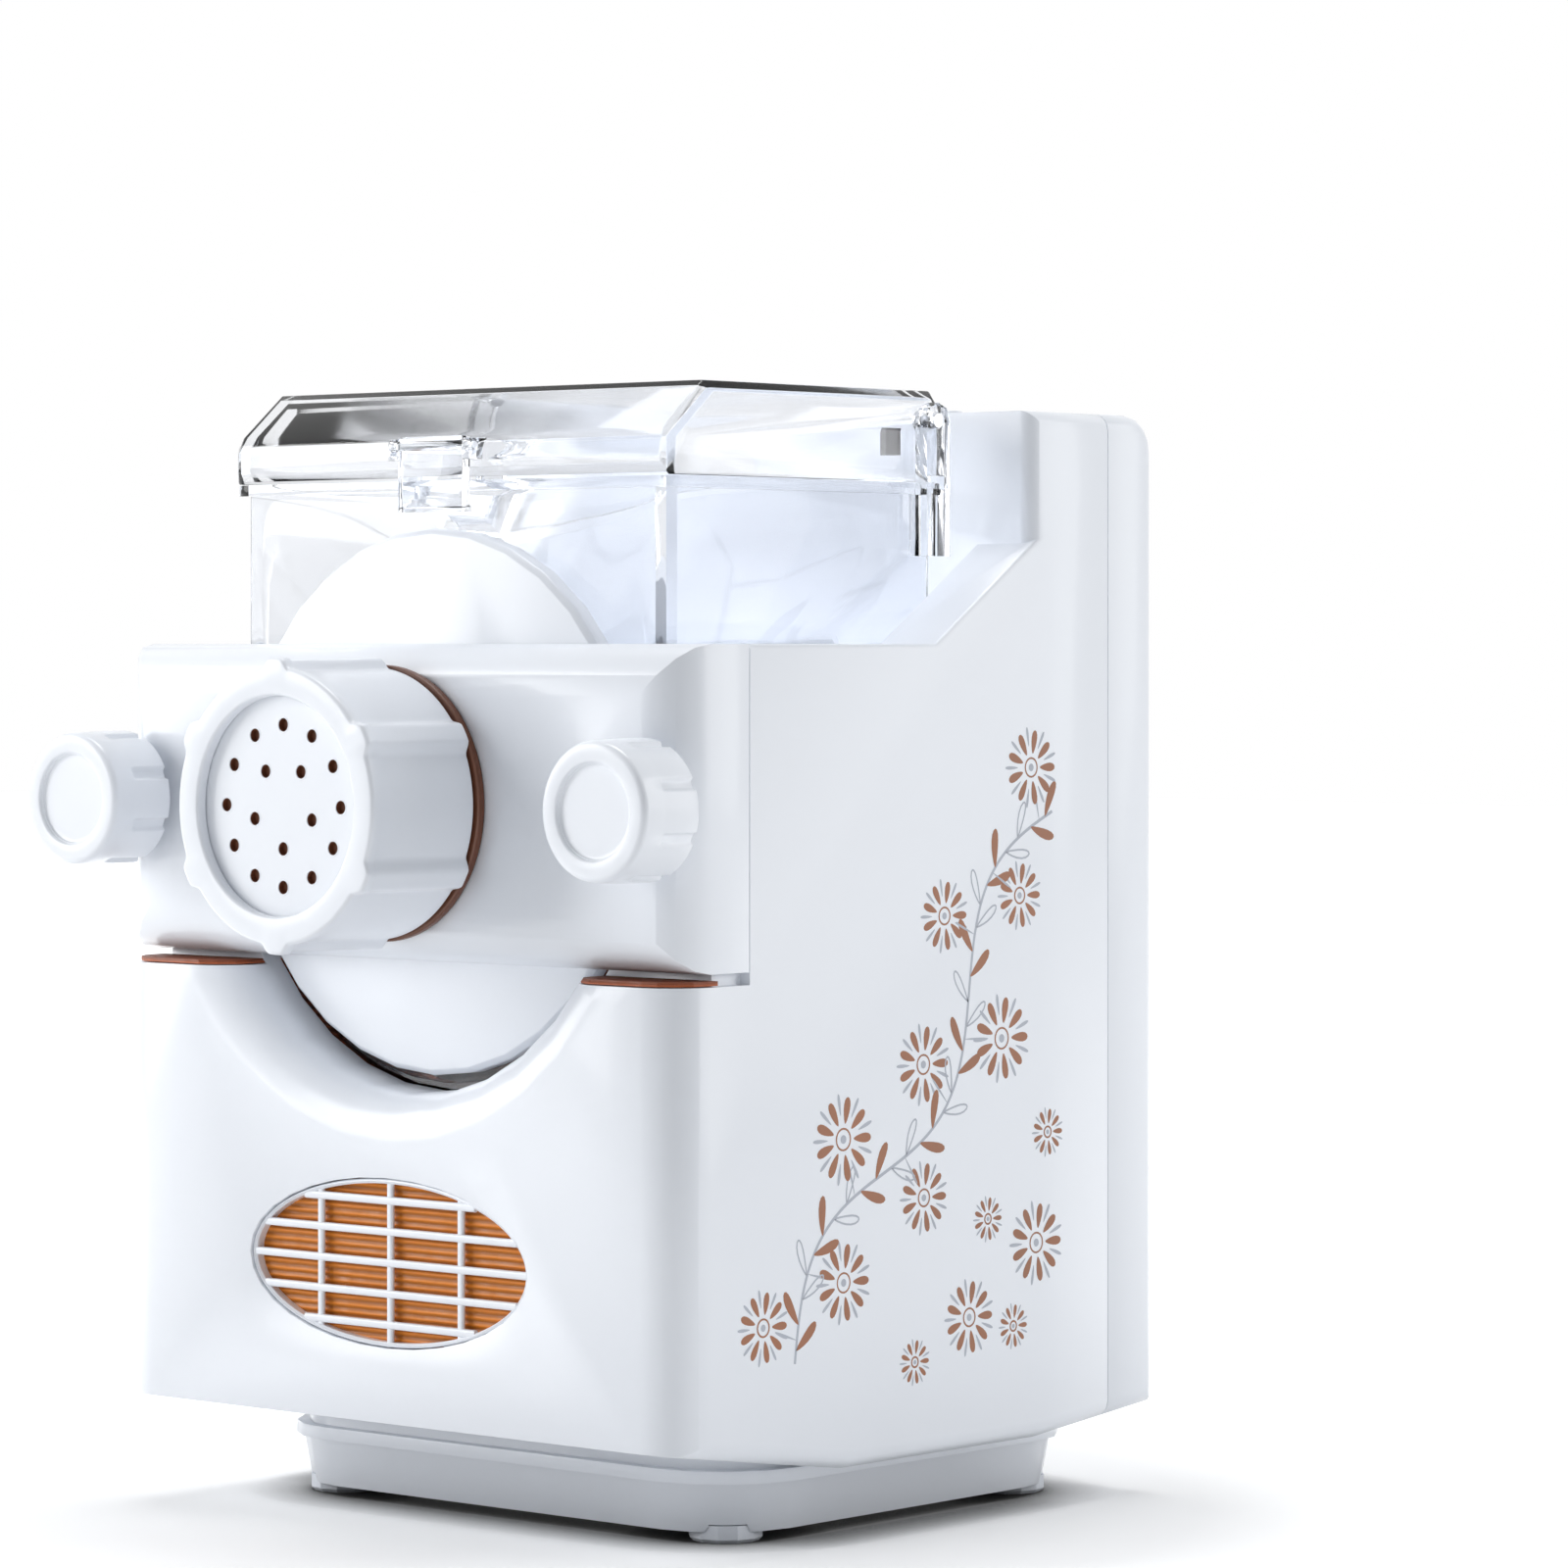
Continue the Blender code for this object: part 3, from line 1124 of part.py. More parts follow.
def thumb_nut(name, centre):
    edge = KNOB_EDGE_RADIUS
    bore = STUD_RADIUS + FIT_GAP
    bore_end = KNOB_FRONT_Y + KNOB_RECESS_DEPTH + KNOB_FACE - 2 * FIT_GAP
    profile = [
        (0, KNOB_FRONT_Y + KNOB_RECESS_DEPTH),
        (KNOB_RECESS_RADIUS, KNOB_FRONT_Y + KNOB_RECESS_DEPTH),
        (KNOB_RECESS_RADIUS + edge / 2, KNOB_FRONT_Y),
        *[(KNOB_RADIUS + u, KNOB_FRONT_Y + v) for u, v in arc((-edge, edge), edge, -90, 0, EDGE_STEPS)],
        *[(KNOB_RADIUS + u, KNOB_BACK_Y + v) for u, v in arc((-edge, -edge), edge, 0, 90, EDGE_STEPS)],
        (bore, KNOB_BACK_Y),
        (bore, bore_end),
        (0, bore_end),
    ]
    knob = lathe(name, profile, centre, KNOB_STEPS, closed=False)
    for i in range(KNOB_GRIP_COUNT):
        groove = box(
            "grip", (-KNOB_GRIP_WIDTH / 2, KNOB_BACK_Y - KNOB_GRIP_LENGTH, KNOB_RADIUS - KNOB_GRIP_DEPTH),
            (KNOB_GRIP_WIDTH / 2, KNOB_BACK_Y + OVERRUN, KNOB_RADIUS + OVERRUN),
        )
        turn_about_y(groove, (0, 0), 360 * (i + 0.5) / KNOB_GRIP_COUNT)
        groove.data.transform(Matrix.Translation((centre[0], 0, centre[1])))
        cut(knob, groove)
    return knob


# Front disc with the extrusion barrel, its seal, the nut, the ring behind it and the die plate

def front_disc(white):
    edge = DISC_EDGE_RADIUS
    groove_outer = DISC_RADIUS - SEAL_RIM
    groove_inner = groove_outer - SEAL_WIDTH - 2 * FIT_GAP
    groove_floor = DISC_BACK_Y - SEAL_THICKNESS
    profile = [
        (BARREL_BORE_RADIUS, BARREL_FRONT_Y),
        (BARREL_RADIUS, BARREL_FRONT_Y),
        (BARREL_RADIUS, DISC_FRONT_Y),
        *[(DISC_RADIUS + u, DISC_FRONT_Y + v) for u, v in arc((-edge, edge), edge, -90, 0, EDGE_STEPS)],
        (DISC_RADIUS, DISC_BACK_Y),
        (groove_outer, DISC_BACK_Y),
        (groove_outer, groove_floor),
        (groove_inner, groove_floor),
        (groove_inner, DISC_BACK_Y),
        (SPIGOT_RADIUS, DISC_BACK_Y),
        (SPIGOT_RADIUS, DISC_BACK_Y + SPIGOT_LENGTH),
        (SPIGOT_RADIUS - SPIGOT_WALL, DISC_BACK_Y + SPIGOT_LENGTH),
        (SPIGOT_RADIUS - SPIGOT_WALL, DISC_BACK_Y - FIT_GAP),
        (BARREL_BORE_RADIUS, DISC_BACK_Y - FIT_GAP),
    ]
    return finish(lathe("front_disc", profile, (0, AXIS_Z), ROUND_STEPS, closed=True), white)


def disc_seal(rubber):
    outer = DISC_RADIUS - SEAL_RIM - FIT_GAP
    front = DISC_BACK_Y - SEAL_THICKNESS + FIT_GAP
    profile = [
        (outer - SEAL_WIDTH, front), (outer, front), (outer, DISC_BACK_Y), (outer - SEAL_WIDTH, DISC_BACK_Y)
    ]
    return finish(lathe("disc_seal", profile, (0, AXIS_Z), ROUND_STEPS), rubber)


def nut_spacer_ring(amber):
    back = FRONT_Y - FIT_GAP
    profile = [
        (BARREL_RADIUS + FIT_GAP, back - SPACER_THICKNESS), (SPACER_RADIUS, back - SPACER_THICKNESS),
        (SPACER_RADIUS, back), (BARREL_RADIUS + FIT_GAP, back),
    ]
    return finish(lathe("nut_spacer_ring", profile, (0, AXIS_Z), ROUND_STEPS), amber)


def die_plate(white):
    plate = cylinder("die_plate", BARREL_RADIUS, "Y", (0, AXIS_Z), DIE_FRONT_Y, DIE_BACK_Y, ROUND_STEPS)
    rings = ((DIE_OUTER_RING_RADIUS, DIE_OUTER_COUNT), (DIE_INNER_RING_RADIUS, DIE_INNER_COUNT))
    for ring_radius, count in rings:
        for i in range(count):
            angle = math.radians(90) + 2 * math.pi * i / count
            if count == DIE_INNER_COUNT:
                angle += math.pi / count
            centre = (ring_radius * math.cos(angle), AXIS_Z + ring_radius * math.sin(angle))
            cut(plate, cylinder(
                "die_hole", DIE_HOLE_RADIUS, "Y", centre, DIE_FRONT_Y - OVERRUN, DIE_BACK_Y + OVERRUN,
                DIE_HOLE_STEPS,
            ))
    pivot_at(plate, (0, DIE_BACK_Y, AXIS_Z))
    return finish(plate, white)


def nut_outline():
    """Six low lobes on a round core, as (x, z) about the axis."""
    points = []
    step = 2 * math.pi / NUT_LOBE_COUNT
    for i in range(NUT_LOBE_COUNT):
        middle = math.pi / 2 + i * step
        for angle_share, rise_share in (*NUT_LOBE_SHARES, *[(share, 0) for share in NUT_CORE_SHARES]):
            radius = NUT_CORE_RADIUS + NUT_LOBE_RISE * rise_share
            angle = middle + angle_share * step
            points.append((radius * math.cos(angle), AXIS_Z + radius * math.sin(angle)))
    return points


def die_nut(white):
    nut = prism("die_nut", nut_outline(), "Y", NUT_FRONT_Y, NUT_BACK_Y)
    round_edges(
        nut, NUT_EDGE_RADIUS, 1,
        lambda edge: both_ends(edge, lambda place: abs(place.y - NUT_FRONT_Y) < NEAR)
    )
    cut(nut, cylinder(
        "nut_mouth", NUT_MOUTH_RADIUS, "Y", (0, AXIS_Z),
        NUT_FRONT_Y - OVERRUN, NUT_BACK_Y + OVERRUN, ROUND_STEPS
    ))
    cut(nut, cylinder(
        "nut_bore", BARREL_RADIUS + FIT_GAP, "Y", (0, AXIS_Z), NUT_FRONT_Y + NUT_LIP, NUT_BACK_Y + OVERRUN,
        ROUND_STEPS,
    ))
    pivot_at(nut, (0, DIE_BACK_Y, AXIS_Z))
    return finish(nut, white)


# Mixing chamber, clear, with its rim, latch catch and hinge lugs

def trough_outline(half_width, top):
    """U-shaped section of the chamber as (x, z)."""
    return [
        (half_width, top), (-half_width, top), *arc((0, AXIS_Z), half_width, 180, 360, CHAMBER_ARC_STEPS)
    ]


def mixing_chamber(clear):
    chamber = prism(
        "mixing_chamber", trough_outline(CHAMBER_HALF_WIDTH, CHAMBER_HEIGHT - RIM_THICKNESS / 2), "Y",
        CHAMBER_FRONT_Y, CHAMBER_BACK_Y,
    )

    def is_outer_loop(edge):
        facing = sorted(abs(face.normal.y) for face in edge.link_faces)
        return facing[0] < STEEP_SHARE and facing[1] > FLAT_SHARE and not both_ends(
            edge, lambda place: place.z > CHAMBER_HEIGHT - RIM_THICKNESS
        )

    round_edges(chamber, CHAMBER_EDGE_RADIUS, EDGE_STEPS, is_outer_loop)
    rim_half = CHAMBER_HALF_WIDTH + RIM_OVERHANG
    fuse(chamber, prism(
        "rim", rounded_rectangle(
            (-rim_half, CHAMBER_FRONT_Y - RIM_OVERHANG),
            (rim_half, CHAMBER_BACK_Y), LID_CORNER_RADIUS, CORNER_STEPS
        ),
        "Z", CHAMBER_HEIGHT - RIM_THICKNESS, CHAMBER_HEIGHT,
    ))
    fuse(chamber, box(
        "catch",
        (
            -CATCH_HALF_WIDTH, LID_FRONT_Y - LATCH_THICKNESS / 3,
            CHAMBER_HEIGHT - RIM_THICKNESS - CATCH_HEIGHT
        ),
        (CATCH_HALF_WIDTH, CHAMBER_FRONT_Y + CHAMBER_WALL / 2, CHAMBER_HEIGHT - RIM_THICKNESS / 2),
    ))
    for side in (-1, 1):
        lug_inner = side * (LID_HALF_WIDTH + FIT_GAP)
        lug_outer = side * (LID_HALF_WIDTH + FIT_GAP + LUG_THICKNESS)
        lug = arc((HINGE_Y, HINGE_Z), LUG_RADIUS, 0, 180, ARC_STEPS)
        lug += [(HINGE_Y - LUG_RADIUS, LUG_FOOT_HEIGHT), (HINGE_Y + LUG_RADIUS, LUG_FOOT_HEIGHT)]
        fuse(chamber, prism("lug", lug, "X", lug_inner, lug_outer))
        foot_inner = side * (CHAMBER_HALF_WIDTH - CHAMBER_WALL / 2)
        foot_outer = lug_outer - side * LUG_THICKNESS / 2
        low_y = HINGE_Y - LUG_RADIUS + NEAR
        high_y = HINGE_Y + LUG_RADIUS - NEAR
        fuse(chamber, box(
            "lug_foot", (min(foot_inner, foot_outer), low_y, LUG_FOOT_HEIGHT + NEAR),
            (max(foot_inner, foot_outer), high_y, CHAMBER_HEIGHT - RIM_THICKNESS / 2),
        ))
        cut(chamber, cylinder(
            "pin_hole", HINGE_PIN_RADIUS + FIT_GAP, "X", (HINGE_Y, HINGE_Z), lug_inner - side * OVERRUN,
            lug_outer + side * OVERRUN, SMALL_STEPS,
        ))
    cut(chamber, prism(
        "trough_hollow", trough_outline(CHAMBER_HALF_WIDTH - CHAMBER_WALL, CHAMBER_HEIGHT + OVERRUN), "Y",
        CHAMBER_FRONT_Y + CHAMBER_WALL, CHAMBER_BACK_Y - CHAMBER_WALL,
    ))
    cut(chamber, cylinder(
        "front_mouth", SPIGOT_RADIUS + FIT_GAP, "Y", (0, AXIS_Z), CHAMBER_FRONT_Y - OVERRUN,
        CHAMBER_FRONT_Y + CHAMBER_WALL + OVERRUN, ROUND_STEPS,
    ))
    cut(chamber, cylinder(
        "bush_seat", BUSH_SEAT_RADIUS, "Y", (0, AXIS_Z), CHAMBER_BACK_Y - CHAMBER_WALL - OVERRUN,
        CHAMBER_BACK_Y + OVERRUN, SMALL_STEPS,
    ))
    return finish(chamber, clear)


# Lid, clear, with a sloping front, latch ears and pin holes

def lid_outline(inset, bottom):
    """Side view of the lid as (y, z), from its front bottom corner."""
    top = LID_BOTTOM_Z + LID_HEIGHT
    slope_foot = top - LID_BEVEL_RISE
    outline = [
        (LID_FRONT_Y, LID_BOTTOM_Z),
        (LID_BACK_Y, LID_BOTTOM_Z),
        (LID_BACK_Y, top - LID_WALL),
        (LID_BACK_Y - LID_WALL, top),
        (LID_FRONT_Y + LID_BEVEL_DEPTH, top),
        (LID_FRONT_Y, slope_foot),
    ]
    moved = inset_outline(outline, inset)
    return [(moved[0][0], bottom), (moved[1][0], bottom), *moved[2:]]


def chamber_lid(clear):
    half = LID_HALF_WIDTH
    lid = prism("chamber_lid", lid_outline(0, LID_BOTTOM_Z), "X", -half, half)

    def is_front_corner(edge):
        return both_ends(
            edge, lambda place: abs(abs(place.x) - half) < NEAR and abs(place.y - LID_FRONT_Y) < NEAR
        )

    def is_upper_side(edge):
        facing = sorted(abs(face.normal.x) for face in edge.link_faces)
        high = both_ends(edge, lambda place: place.z > LID_BOTTOM_Z + LID_WALL)
        return high and facing[0] < STEEP_SHARE and facing[1] > FLAT_SHARE

    round_edges(lid, LID_EDGE_RADIUS, EDGE_STEPS, lambda edge: is_front_corner(edge) or is_upper_side(edge))
    inner = half - LID_WALL
    cut(lid, prism("lid_hollow", lid_outline(LID_WALL, LID_BOTTOM_Z - OVERRUN), "X", -inner, inner))
    ear_z = LATCH_PIN_HEIGHT
    for side in (-1, 1):
        ear_inner = side * (LATCH_HALF_WIDTH + FIT_GAP)
        ear_outer = side * (LATCH_HALF_WIDTH + FIT_GAP + LATCH_EAR_THICKNESS)
        ear = box(
            "ear",
            (min(ear_inner, ear_outer), LATCH_PIN_Y - LATCH_EAR_FRONT, ear_z - LATCH_EAR_DROP),
            (max(ear_inner, ear_outer), LID_FRONT_Y + LID_WALL - FIT_GAP, ear_z + LATCH_EAR_RISE),
        )
        fuse(lid, ear)
        cut(lid, cylinder(
            "ear_hole", LATCH_PIN_RADIUS + FIT_GAP / 2, "X",
            (LATCH_PIN_Y, ear_z), ear_inner - side * OVERRUN,
            ear_outer + side * OVERRUN, TINY_STEPS,
        ))
        cut(lid, cylinder(
            "pin_hole", HINGE_PIN_RADIUS + FIT_GAP, "X", (HINGE_Y, HINGE_Z), side * (inner - OVERRUN),
            side * (half + OVERRUN), SMALL_STEPS,
        ))
    cut(lid, box(
        "heel_relief", (-half - OVERRUN, HINGE_Y, LID_BOTTOM_Z - OVERRUN),
        (half + OVERRUN, LID_BACK_Y + OVERRUN, LID_BOTTOM_Z + LID_HEEL_RELIEF),
    ))
    pivot_at(lid, (0, HINGE_Y, HINGE_Z))
    return finish(lid, clear)


def hinge_pins(steel):
    inner = LID_HALF_WIDTH - LID_WALL - FIT_GAP
    outer = LID_HALF_WIDTH + FIT_GAP + LUG_THICKNESS
    for name, side in (("left", -1), ("right", 1)):
        pin = cylinder(
            "hinge_pin_" + name, HINGE_PIN_RADIUS, "X",
            (HINGE_Y, HINGE_Z), side * (inner - HINGE_PIN_HEAD / 2),
            side * outer, SMALL_STEPS,
        )
        fuse(pin, cylinder(
            "pin_head", HINGE_PIN_HEAD_RADIUS, "X", (HINGE_Y, HINGE_Z), side * (inner - HINGE_PIN_HEAD),
            side * inner, SMALL_STEPS,
        ))
        finish(pin, steel)


def lid_magnet(dark):
    outer = LID_HALF_WIDTH - LID_WALL - FIT_GAP
    low_y = CHAMBER_BACK_Y - MAGNET_INSET
    magnet = box(
        "lid_magnet", (outer - MAGNET_THICKNESS, low_y, MAGNET_HEIGHT),
        (outer, low_y + MAGNET_LENGTH, MAGNET_HEIGHT + MAGNET_TALL),
    )
    return finish(magnet, dark)


# Lid latch on its pin

def lid_latch(clear):
    front = LATCH_PIN_Y - LATCH_THICKNESS / 2
    back = LATCH_PIN_Y + LATCH_THICKNESS / 2
    bottom = LATCH_PIN_HEIGHT - LATCH_DROP
    hook_top = bottom + LATCH_HOOK_HEIGHT
    outline = [
        (front, bottom),
        (back + LATCH_HOOK_REACH, bottom),
        (back + LATCH_HOOK_REACH, hook_top - FIT_GAP),
        (back, hook_top),
        (back, LATCH_PIN_HEIGHT + LATCH_TOP),
        (front, LATCH_PIN_HEIGHT + LATCH_TOP),
    ]
    latch = prism("lid_latch", outline, "X", -LATCH_HALF_WIDTH, LATCH_HALF_WIDTH)
    cut(latch, cylinder(
        "pin_hole", LATCH_PIN_RADIUS + FIT_GAP / 2, "X",
        (LATCH_PIN_Y, LATCH_PIN_HEIGHT), -LATCH_HALF_WIDTH - OVERRUN,
        LATCH_HALF_WIDTH + OVERRUN, TINY_STEPS,
    ))
    pivot_at(latch, (0, LATCH_PIN_Y, LATCH_PIN_HEIGHT))
    return finish(latch, clear)


def latch_pin(steel):
    reach = LATCH_HALF_WIDTH + FIT_GAP + LATCH_EAR_THICKNESS
    pin = cylinder(
        "latch_pin", LATCH_PIN_RADIUS - FIT_GAP / 2, "X",
        (LATCH_PIN_Y, LATCH_PIN_HEIGHT), -reach, reach, TINY_STEPS
    )
    return finish(pin, steel)


# Mixing auger, bush and output shaft

def auger_flight():
    """Helical flight along the front of the auger, as one closed ribbon."""
    start = BARREL_FRONT_Y + AUGER_TIP_GAP + AUGER_FLIGHT_THICKNESS
    end = CHAMBER_FRONT_Y + AUGER_FLIGHT_END
    turns = (end - start) / AUGER_PITCH
    steps = round(turns * FLIGHT_STEPS_PER_TURN)
    mesh_tool = bmesh.new()
    inner = AUGER_CORE_RADIUS * FLIGHT_ROOT_SHARE
    half = AUGER_FLIGHT_THICKNESS / 2
    rim = half * FLIGHT_RIM_SHARE
    section = ((inner, -half), (AUGER_FLIGHT_RADIUS, -rim), (AUGER_FLIGHT_RADIUS, rim), (inner, half))
    rings = []
    for i in range(steps + 1):
        angle = 2 * math.pi * turns * i / steps
        y = start + (end - start) * i / steps
        direction = Vector((math.sin(angle), 0, math.cos(angle)))
        centre = Vector((0, 0, AXIS_Z))
        rings.append([mesh_tool.verts.new(centre + direction * r + Y_AXIS * (y + dy)) for r, dy in section])
    for ring, following in zip(rings, rings[1:]):
        for j in range(len(section)):
            k = (j + 1) % len(section)
            mesh_tool.faces.new((ring[j], ring[k], following[k], following[j]))
    mesh_tool.faces.new(rings[0])
    mesh_tool.faces.new(reversed(rings[-1]))
    return new_piece("auger_flight", mesh_tool)


def paddle(index):
    """An arm with a twisted blade at its end, turned to its place round the shaft."""
    length = CHAMBER_BACK_Y - CHAMBER_FRONT_Y
    reach = CHAMBER_HALF_WIDTH - PADDLE_CLEARANCE
    y = CHAMBER_FRONT_Y + length * (PADDLE_FIRST_SHARE + index * PADDLE_SPACING_SHARE)
    arm = box(
        "arm", (-PADDLE_WIDTH / 2, y - PADDLE_THICKNESS / 2, 0),
        (PADDLE_WIDTH / 2, y + PADDLE_THICKNESS / 2, reach - PADDLE_BLADE_HEIGHT / 2),
    )
    blade = box(
        "blade", (-PADDLE_BLADE_THICKNESS / 2, -PADDLE_BLADE_LENGTH / 2, reach - PADDLE_BLADE_HEIGHT),
        (PADDLE_BLADE_THICKNESS / 2, PADDLE_BLADE_LENGTH / 2, reach),
    )
    blade.data.transform(Matrix.Rotation(math.radians(PADDLE_TWIST_DEGREES), 4, "Z"))
    blade.data.transform(Matrix.Translation(Y_AXIS * y))
    fuse(arm, blade)
    turn_about_y(arm, (0, 0), 180 + index * 360 / PADDLE_COUNT)
    arm.data.transform(Matrix.Translation(Z_AXIS * AXIS_Z))
    return arm


def mixing_auger(white):
    tip = BARREL_FRONT_Y + AUGER_TIP_GAP
    hub_y = CHAMBER_FRONT_Y + AUGER_FLIGHT_END
    bore = OUTPUT_SHAFT_RADIUS + FIT_GAP
    socket_y = AUGER_BACK_Y - SHAFT_SOCKET_DEPTH
    profile = [
        (0, tip),
        (AUGER_CORE_RADIUS / 2, tip),
        (AUGER_CORE_RADIUS, tip + AUGER_CORE_RADIUS / 2),
        (AUGER_CORE_RADIUS, hub_y),
        (AUGER_HUB_RADIUS, hub_y + AUGER_HUB_RADIUS / 2),
        (AUGER_HUB_RADIUS, AUGER_BACK_Y),
        (bore, AUGER_BACK_Y),
        (bore, socket_y),
        (0, socket_y),
    ]
    auger = lathe("mixing_auger", profile, (0, AXIS_Z), SMALL_STEPS, closed=False)
    fuse(auger, auger_flight())
    for index in range(PADDLE_COUNT):
        fuse(auger, paddle(index))
    pivot_at(auger, (0, AUGER_BACK_Y, AXIS_Z))
    return finish(auger, white)


def shaft_bush(rubber):
    """Flanged bush that seals the shaft in the chamber's back wall."""
    bore = OUTPUT_SHAFT_RADIUS + FIT_GAP
    flange_back = CHAMBER_BACK_Y - CHAMBER_WALL - FIT_GAP
    flange_front = flange_back - BUSH_FLANGE_THICKNESS
    body = BUSH_SEAT_RADIUS - FIT_GAP
    profile = [
        (bore, flange_front), (body + BUSH_FLANGE, flange_front), (body + BUSH_FLANGE, flange_back),
        (body, flange_back), (body, CHASSIS_REAR_Y - FIT_GAP), (bore, CHASSIS_REAR_Y - FIT_GAP),
    ]
    return finish(lathe("shaft_bush", profile, (0, AXIS_Z), SMALL_STEPS), rubber)


def turned_shaft(name, radius, z, start, end, steel):
    shaft = cylinder(name, radius, "Y", (0, z), start, end, SMALL_STEPS)
    pivot_at(shaft, (0, start, z))
    return finish(shaft, steel)


# Gears

def gear_blank(name, teeth, module, z, start, first_tooth_degrees):
    pitch_radius = teeth * module / 2
    tip = pitch_radius + ADDENDUM_SHARE * module
    root = pitch_radius - DEDENDUM_SHARE * module
    step = 2 * math.pi / teeth
    tooth_shares = (-TOOTH_ROOT_SHARE / 2, -TOOTH_TIP_SHARE / 2, TOOTH_TIP_SHARE / 2, TOOTH_ROOT_SHARE / 2)
    outline = []
    for i in range(teeth):
        middle = math.radians(first_tooth_degrees) + i * step
        for radius, share in zip((root, tip, tip, root), tooth_shares):
            angle = middle + share * step
            outline.append((radius * math.cos(angle), z + radius * math.sin(angle)))
    return prism(name, outline, "Y", start, start + GEAR_THICKNESS)


def finish_gear(wheel, bore, z, start, end, material):
    cut(wheel, cylinder("bore", bore + FIT_GAP, "Y", (0, z), start - OVERRUN, end + OVERRUN, SMALL_STEPS))
    pivot_at(wheel, (0, start, z))
    return finish(wheel, material)


def gear_train(white, steel):
    """Teeth point along the line of centres on the driving gears, gaps on the driven ones."""
    output = gear_blank(
        "output_gear", SECOND_WHEEL_TEETH, SECOND_MODULE,
        AXIS_Z, SECOND_LAYER_Y, -90 + 180 / SECOND_WHEEL_TEETH
    )
    finish_gear(output, OUTPUT_SHAFT_RADIUS, AXIS_Z, SECOND_LAYER_Y, SECOND_LAYER_Y + GEAR_THICKNESS, white)
    idler = gear_blank(
        "idler_gear", FIRST_WHEEL_TEETH, FIRST_MODULE, IDLER_Z, FIRST_LAYER_Y, -90 + 180 / FIRST_WHEEL_TEETH
    )
    hub_radius = (SECOND_PINION_TEETH / 2 - DEDENDUM_SHARE) * SECOND_MODULE - FIT_GAP
    fuse(idler, cylinder(
        "idler_hub", hub_radius, "Y", (0, IDLER_Z), SECOND_LAYER_Y + GEAR_THICKNESS / 2,
        FIRST_LAYER_Y + GEAR_THICKNESS / 2, SMALL_STEPS,
    ))
    fuse(idler, gear_blank("idler_small", SECOND_PINION_TEETH, SECOND_MODULE, IDLER_Z, SECOND_LAYER_Y, 90))
    finish_gear(idler, IDLER_SHAFT_RADIUS, IDLER_Z, SECOND_LAYER_Y, FIRST_LAYER_Y + GEAR_THICKNESS, white)
    pinion = gear_blank("motor_pinion", FIRST_PINION_TEETH, FIRST_MODULE, MOTOR_Z, FIRST_LAYER_Y, 90)
    finish_gear(pinion, MOTOR_SHAFT_RADIUS, MOTOR_Z, FIRST_LAYER_Y, FIRST_LAYER_Y + GEAR_THICKNESS, steel)


# Gear case

def case_outline(inset):
    pinion_tip = (FIRST_PINION_TEETH / 2 + ADDENDUM_SHARE) * FIRST_MODULE
    wheel_tip = (SECOND_WHEEL_TEETH / 2 + ADDENDUM_SHARE) * SECOND_MODULE
    low = MOTOR_Z - pinion_tip - CASE_SIDE_GAP - CASE_WALL + inset
    high = AXIS_Z + wheel_tip + CASE_SIDE_GAP + CASE_WALL - inset
    half = CASE_HALF_WIDTH - inset
    return rounded_rectangle((-half, low), (half, high), CASE_CORNER_RADIUS - inset, SMALL_CORNER_STEPS)


def case_spacer_places():
    reach = CASE_HALF_WIDTH - CASE_CORNER_RADIUS
    return [(x, z) for z in (MOTOR_Z, AXIS_Z + CASE_CORNER_RADIUS) for x in (-reach, reach)]


def gear_case(grey):
    case = prism("gear_case", case_outline(0), "Y", CASE_Y, CASE_COVER_Y - FIT_GAP)
    cut(case, prism("case_hollow", case_outline(CASE_WALL), "Y", CASE_Y + CASE_WALL, CASE_COVER_Y + OVERRUN))
    for centre in case_spacer_places():
        fuse(case, cylinder(
            "spacer", CASE_SPACER_RADIUS, "Y", centre, CHASSIS_REAR_Y + CHASSIS_THICKNESS + FIT_GAP,
            CASE_Y + CASE_WALL / 2, SMALL_STEPS,
        ))
    for z, radius in (
        (AXIS_Z, OUTPUT_SHAFT_RADIUS), (IDLER_Z, IDLER_SHAFT_RADIUS), (MOTOR_Z, MOTOR_SHAFT_RADIUS)
    ):
        cut(case, cylinder(
            "shaft_hole", radius + FIT_GAP, "Y", (0, z),
            CASE_Y - OVERRUN, CASE_Y + CASE_WALL + OVERRUN, SMALL_STEPS
        ))
    return finish(case, grey)


def gear_case_cover(grey):
    cover = prism("gear_case_cover", case_outline(0), "Y", CASE_COVER_Y, CASE_COVER_Y + CASE_WALL)
    for z, radius in (
        (AXIS_Z, OUTPUT_SHAFT_RADIUS), (IDLER_Z, IDLER_SHAFT_RADIUS), (MOTOR_Z, MOTOR_SHAFT_RADIUS)
    ):
        cut(cover, cylinder(
            "shaft_hole", radius + FIT_GAP, "Y", (0, z), CASE_COVER_Y - OVERRUN,
            CASE_COVER_Y + CASE_WALL + OVERRUN, SMALL_STEPS,
        ))
    return finish(cover, grey)


# Motor and fan

def motor_body(steel):
    bore = MOTOR_SHAFT_RADIUS + FIT_GAP
    profile = [
        (bore, MOTOR_FRONT_Y),
        (MOTOR_BELL_RADIUS, MOTOR_FRONT_Y),
        (MOTOR_RADIUS, MOTOR_FRONT_Y + MOTOR_BELL_LENGTH),
        (MOTOR_RADIUS, MOTOR_BACK_Y - MOTOR_BELL_LENGTH),
        (MOTOR_BELL_RADIUS, MOTOR_BACK_Y),
        (bore, MOTOR_BACK_Y),
    ]
    return finish(lathe("motor_body", profile, (0, MOTOR_Z), ROUND_STEPS), steel)


